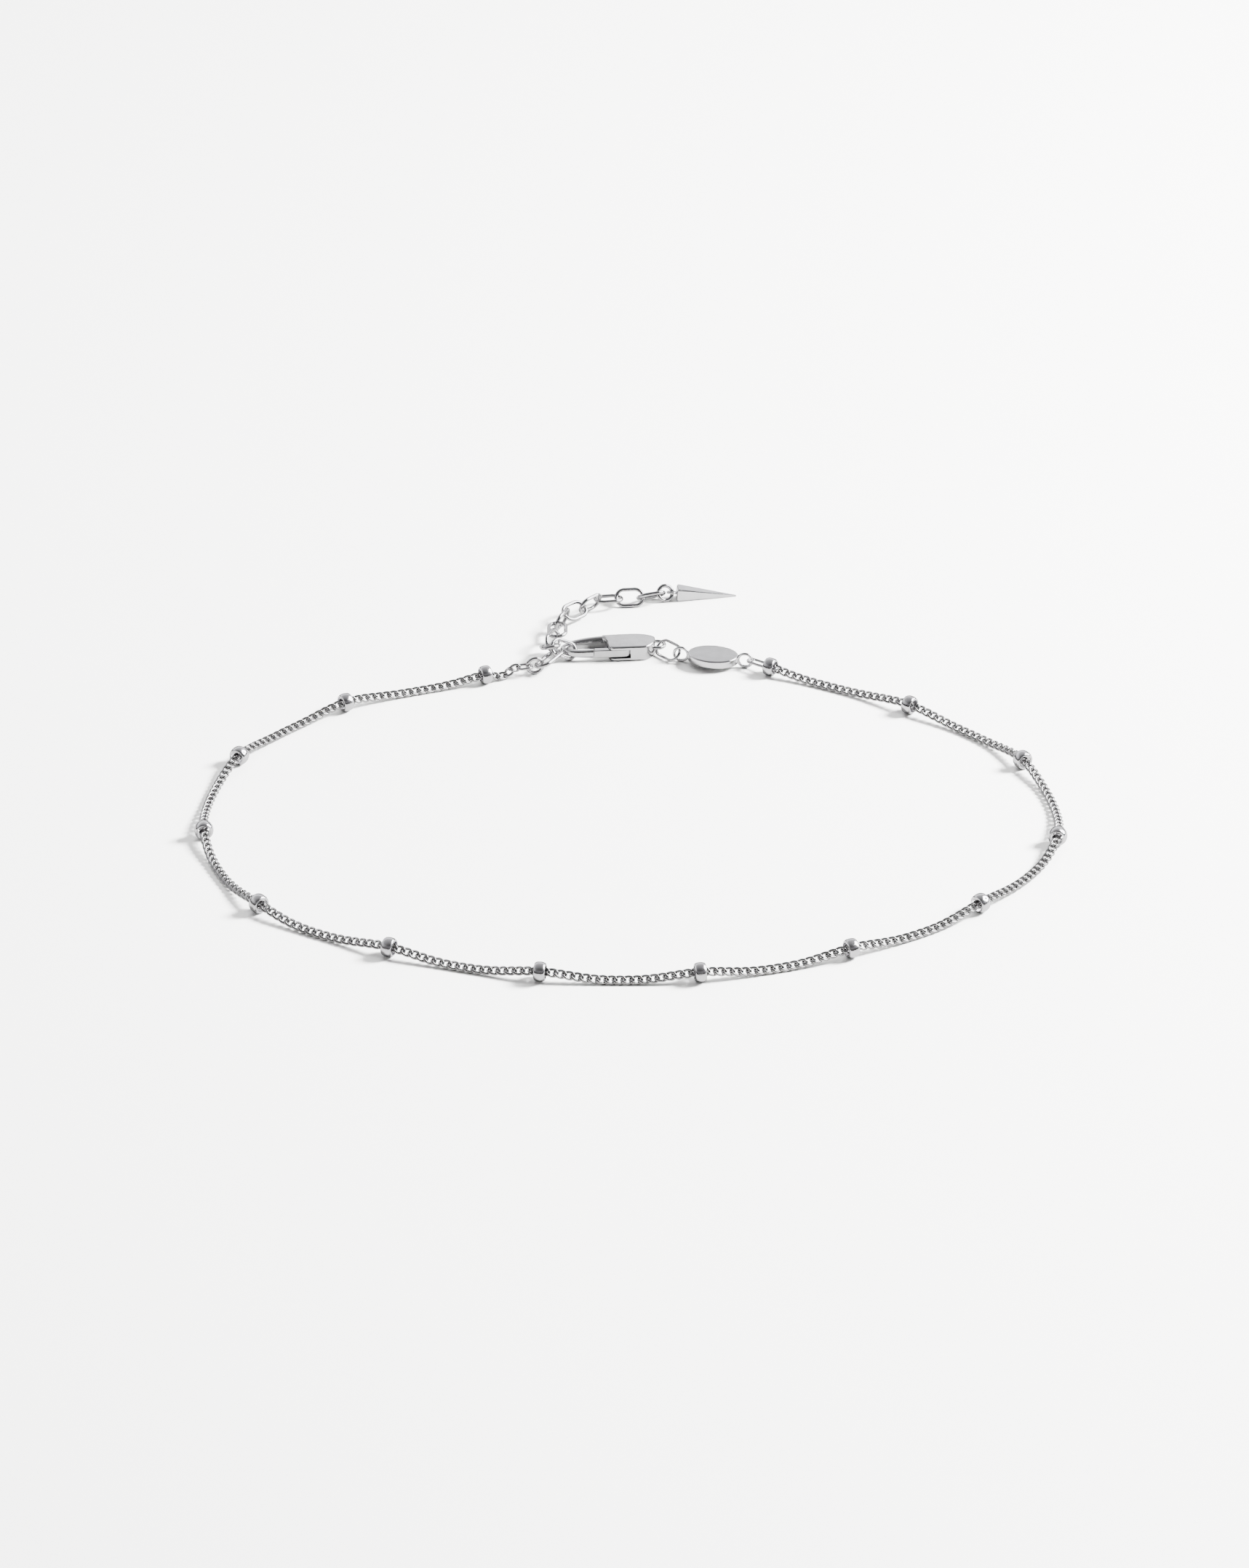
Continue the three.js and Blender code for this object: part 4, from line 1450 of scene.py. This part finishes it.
@dataclass
class Studio:
    """The camera at the photograph's place, soft light from the right, and a pale room.

    Attributes:
        camera_place: the camera's place in millimetres.
        tilt: how far the camera looks down, in degrees.
        focal_px: the focal length in pixels of the photograph.
        nearest: where the camera starts to see, in metres.
        lamps: the lights.
        room_light: the room's brightness.
        room_tones: the room's tone at heights from 0, level, to 1, straight up.
        room_blue: how much stronger its blue is.
        room_depth: how far from the middle its fading towards the front begins and ends.
        room_front: the share of its tone that is left at the front.
    """

    camera_place: tuple[float, float, float] = (-0.554, -449.747, 263.7)
    tilt: float = 30.44
    focal_px: float = 7392.0
    nearest: float = 0.01
    lamps: tuple[Lamp, ...] = (
        Lamp("key", azimuth=14.0, elevation=36.0, size=0.17, watts=46.0, mirrored=False),
        Lamp("fill", azimuth=110.0, elevation=58.0, size=0.45, watts=4.5, mirrored=False),
        Lamp("softbox", azimuth=14.0, elevation=36.0, size=0.46, watts=13.0, mirrored=True),
    )
    room_light: float = 2.0
    room_tones: tuple[Spot, ...] = (
        (0.0, 0.05), (0.2, 0.06), (0.36, 0.85), (0.57, 0.95), (0.7, 0.4), (0.95, 0.3),
    )
    room_blue: float = 1.02
    room_depth: float = 0.6
    room_front: float = 0.12

    def add_camera(self) -> None:
        """Creates the scene's camera."""
        data = bpy.data.cameras.new("camera")
        data.sensor_width = SENSOR_MM
        data.lens = SENSOR_MM * self.focal_px / PHOTO_HEIGHT_PX
        data.clip_start = self.nearest
        camera = bpy.data.objects.new("camera", data)
        camera.location = Vector(self.camera_place) * MM
        camera.rotation_euler = (math.radians(90 - self.tilt), 0, 0)
        bpy.context.scene.collection.objects.link(camera)
        bpy.context.scene.camera = camera

    def add_lights(self) -> None:
        """Adds the lights and the pale room round the table."""
        for lamp in self.lamps:
            lamp.add()
        world = bpy.data.worlds.new("room")
        bpy.context.scene.world = world
        world.use_nodes = True
        nodes = world.node_tree.nodes
        background = nodes["Background"]
        background.inputs["Strength"].default_value = self.room_light
        way = nodes.new("ShaderNodeTexCoord")
        split = nodes.new("ShaderNodeSeparateXYZ")
        height = nodes.new("ShaderNodeValToRGB")
        steps = height.color_ramp.elements
        steps[0].position = self.room_tones[0][0]
        steps[1].position = self.room_tones[-1][0]
        for position, _ in self.room_tones[1:-1]:
            steps.new(position)
        for step, (_, tone) in zip(steps, self.room_tones):
            step.color = (tone, tone, tone * self.room_blue, 1)
        depth = nodes.new("ShaderNodeMapRange")
        depth.inputs["From Min"].default_value = -self.room_depth
        depth.inputs["From Max"].default_value = self.room_depth
        depth.inputs["To Min"].default_value = self.room_front
        room = nodes.new("ShaderNodeMix")
        room.data_type = "RGBA"
        room.inputs["A"].default_value = (0, 0, 0, 1)
        join_nodes(
            world.node_tree,
            (way, "Generated", split, "Vector"),
            (split, "Z", height, "Fac"),
            (split, "Y", depth, "Value"),
            (depth, "Result", room, "Factor"),
            (height, "Color", room, "B"),
            (room, "Result", background, "Color"),
        )


def main() -> None:
    """Builds the whole picture in order."""
    logging.basicConfig(level=logging.INFO, format="%(name)s: %(message)s")
    studio = Studio()
    studio.add_camera()
    polished = POLISHED.material()
    chain_silver = CHAIN_SILVER.material()
    cast = CAST_SILVER.material()
    satin = SATIN_SILVER.material()
    route = Route()
    CurbChain().lay(route, chain_silver)
    Beads().thread(route, TUMBLED_SILVER.material())
    Findings().add(polished)
    bright = BRIGHT_SILVER.material()
    SpikeDrop().add(bright)
    Tag().add(bright, satin)
    Clasp().add(cast, polished)
    Table().add()
    studio.add_lights()


if __name__ == "__main__":
    main()
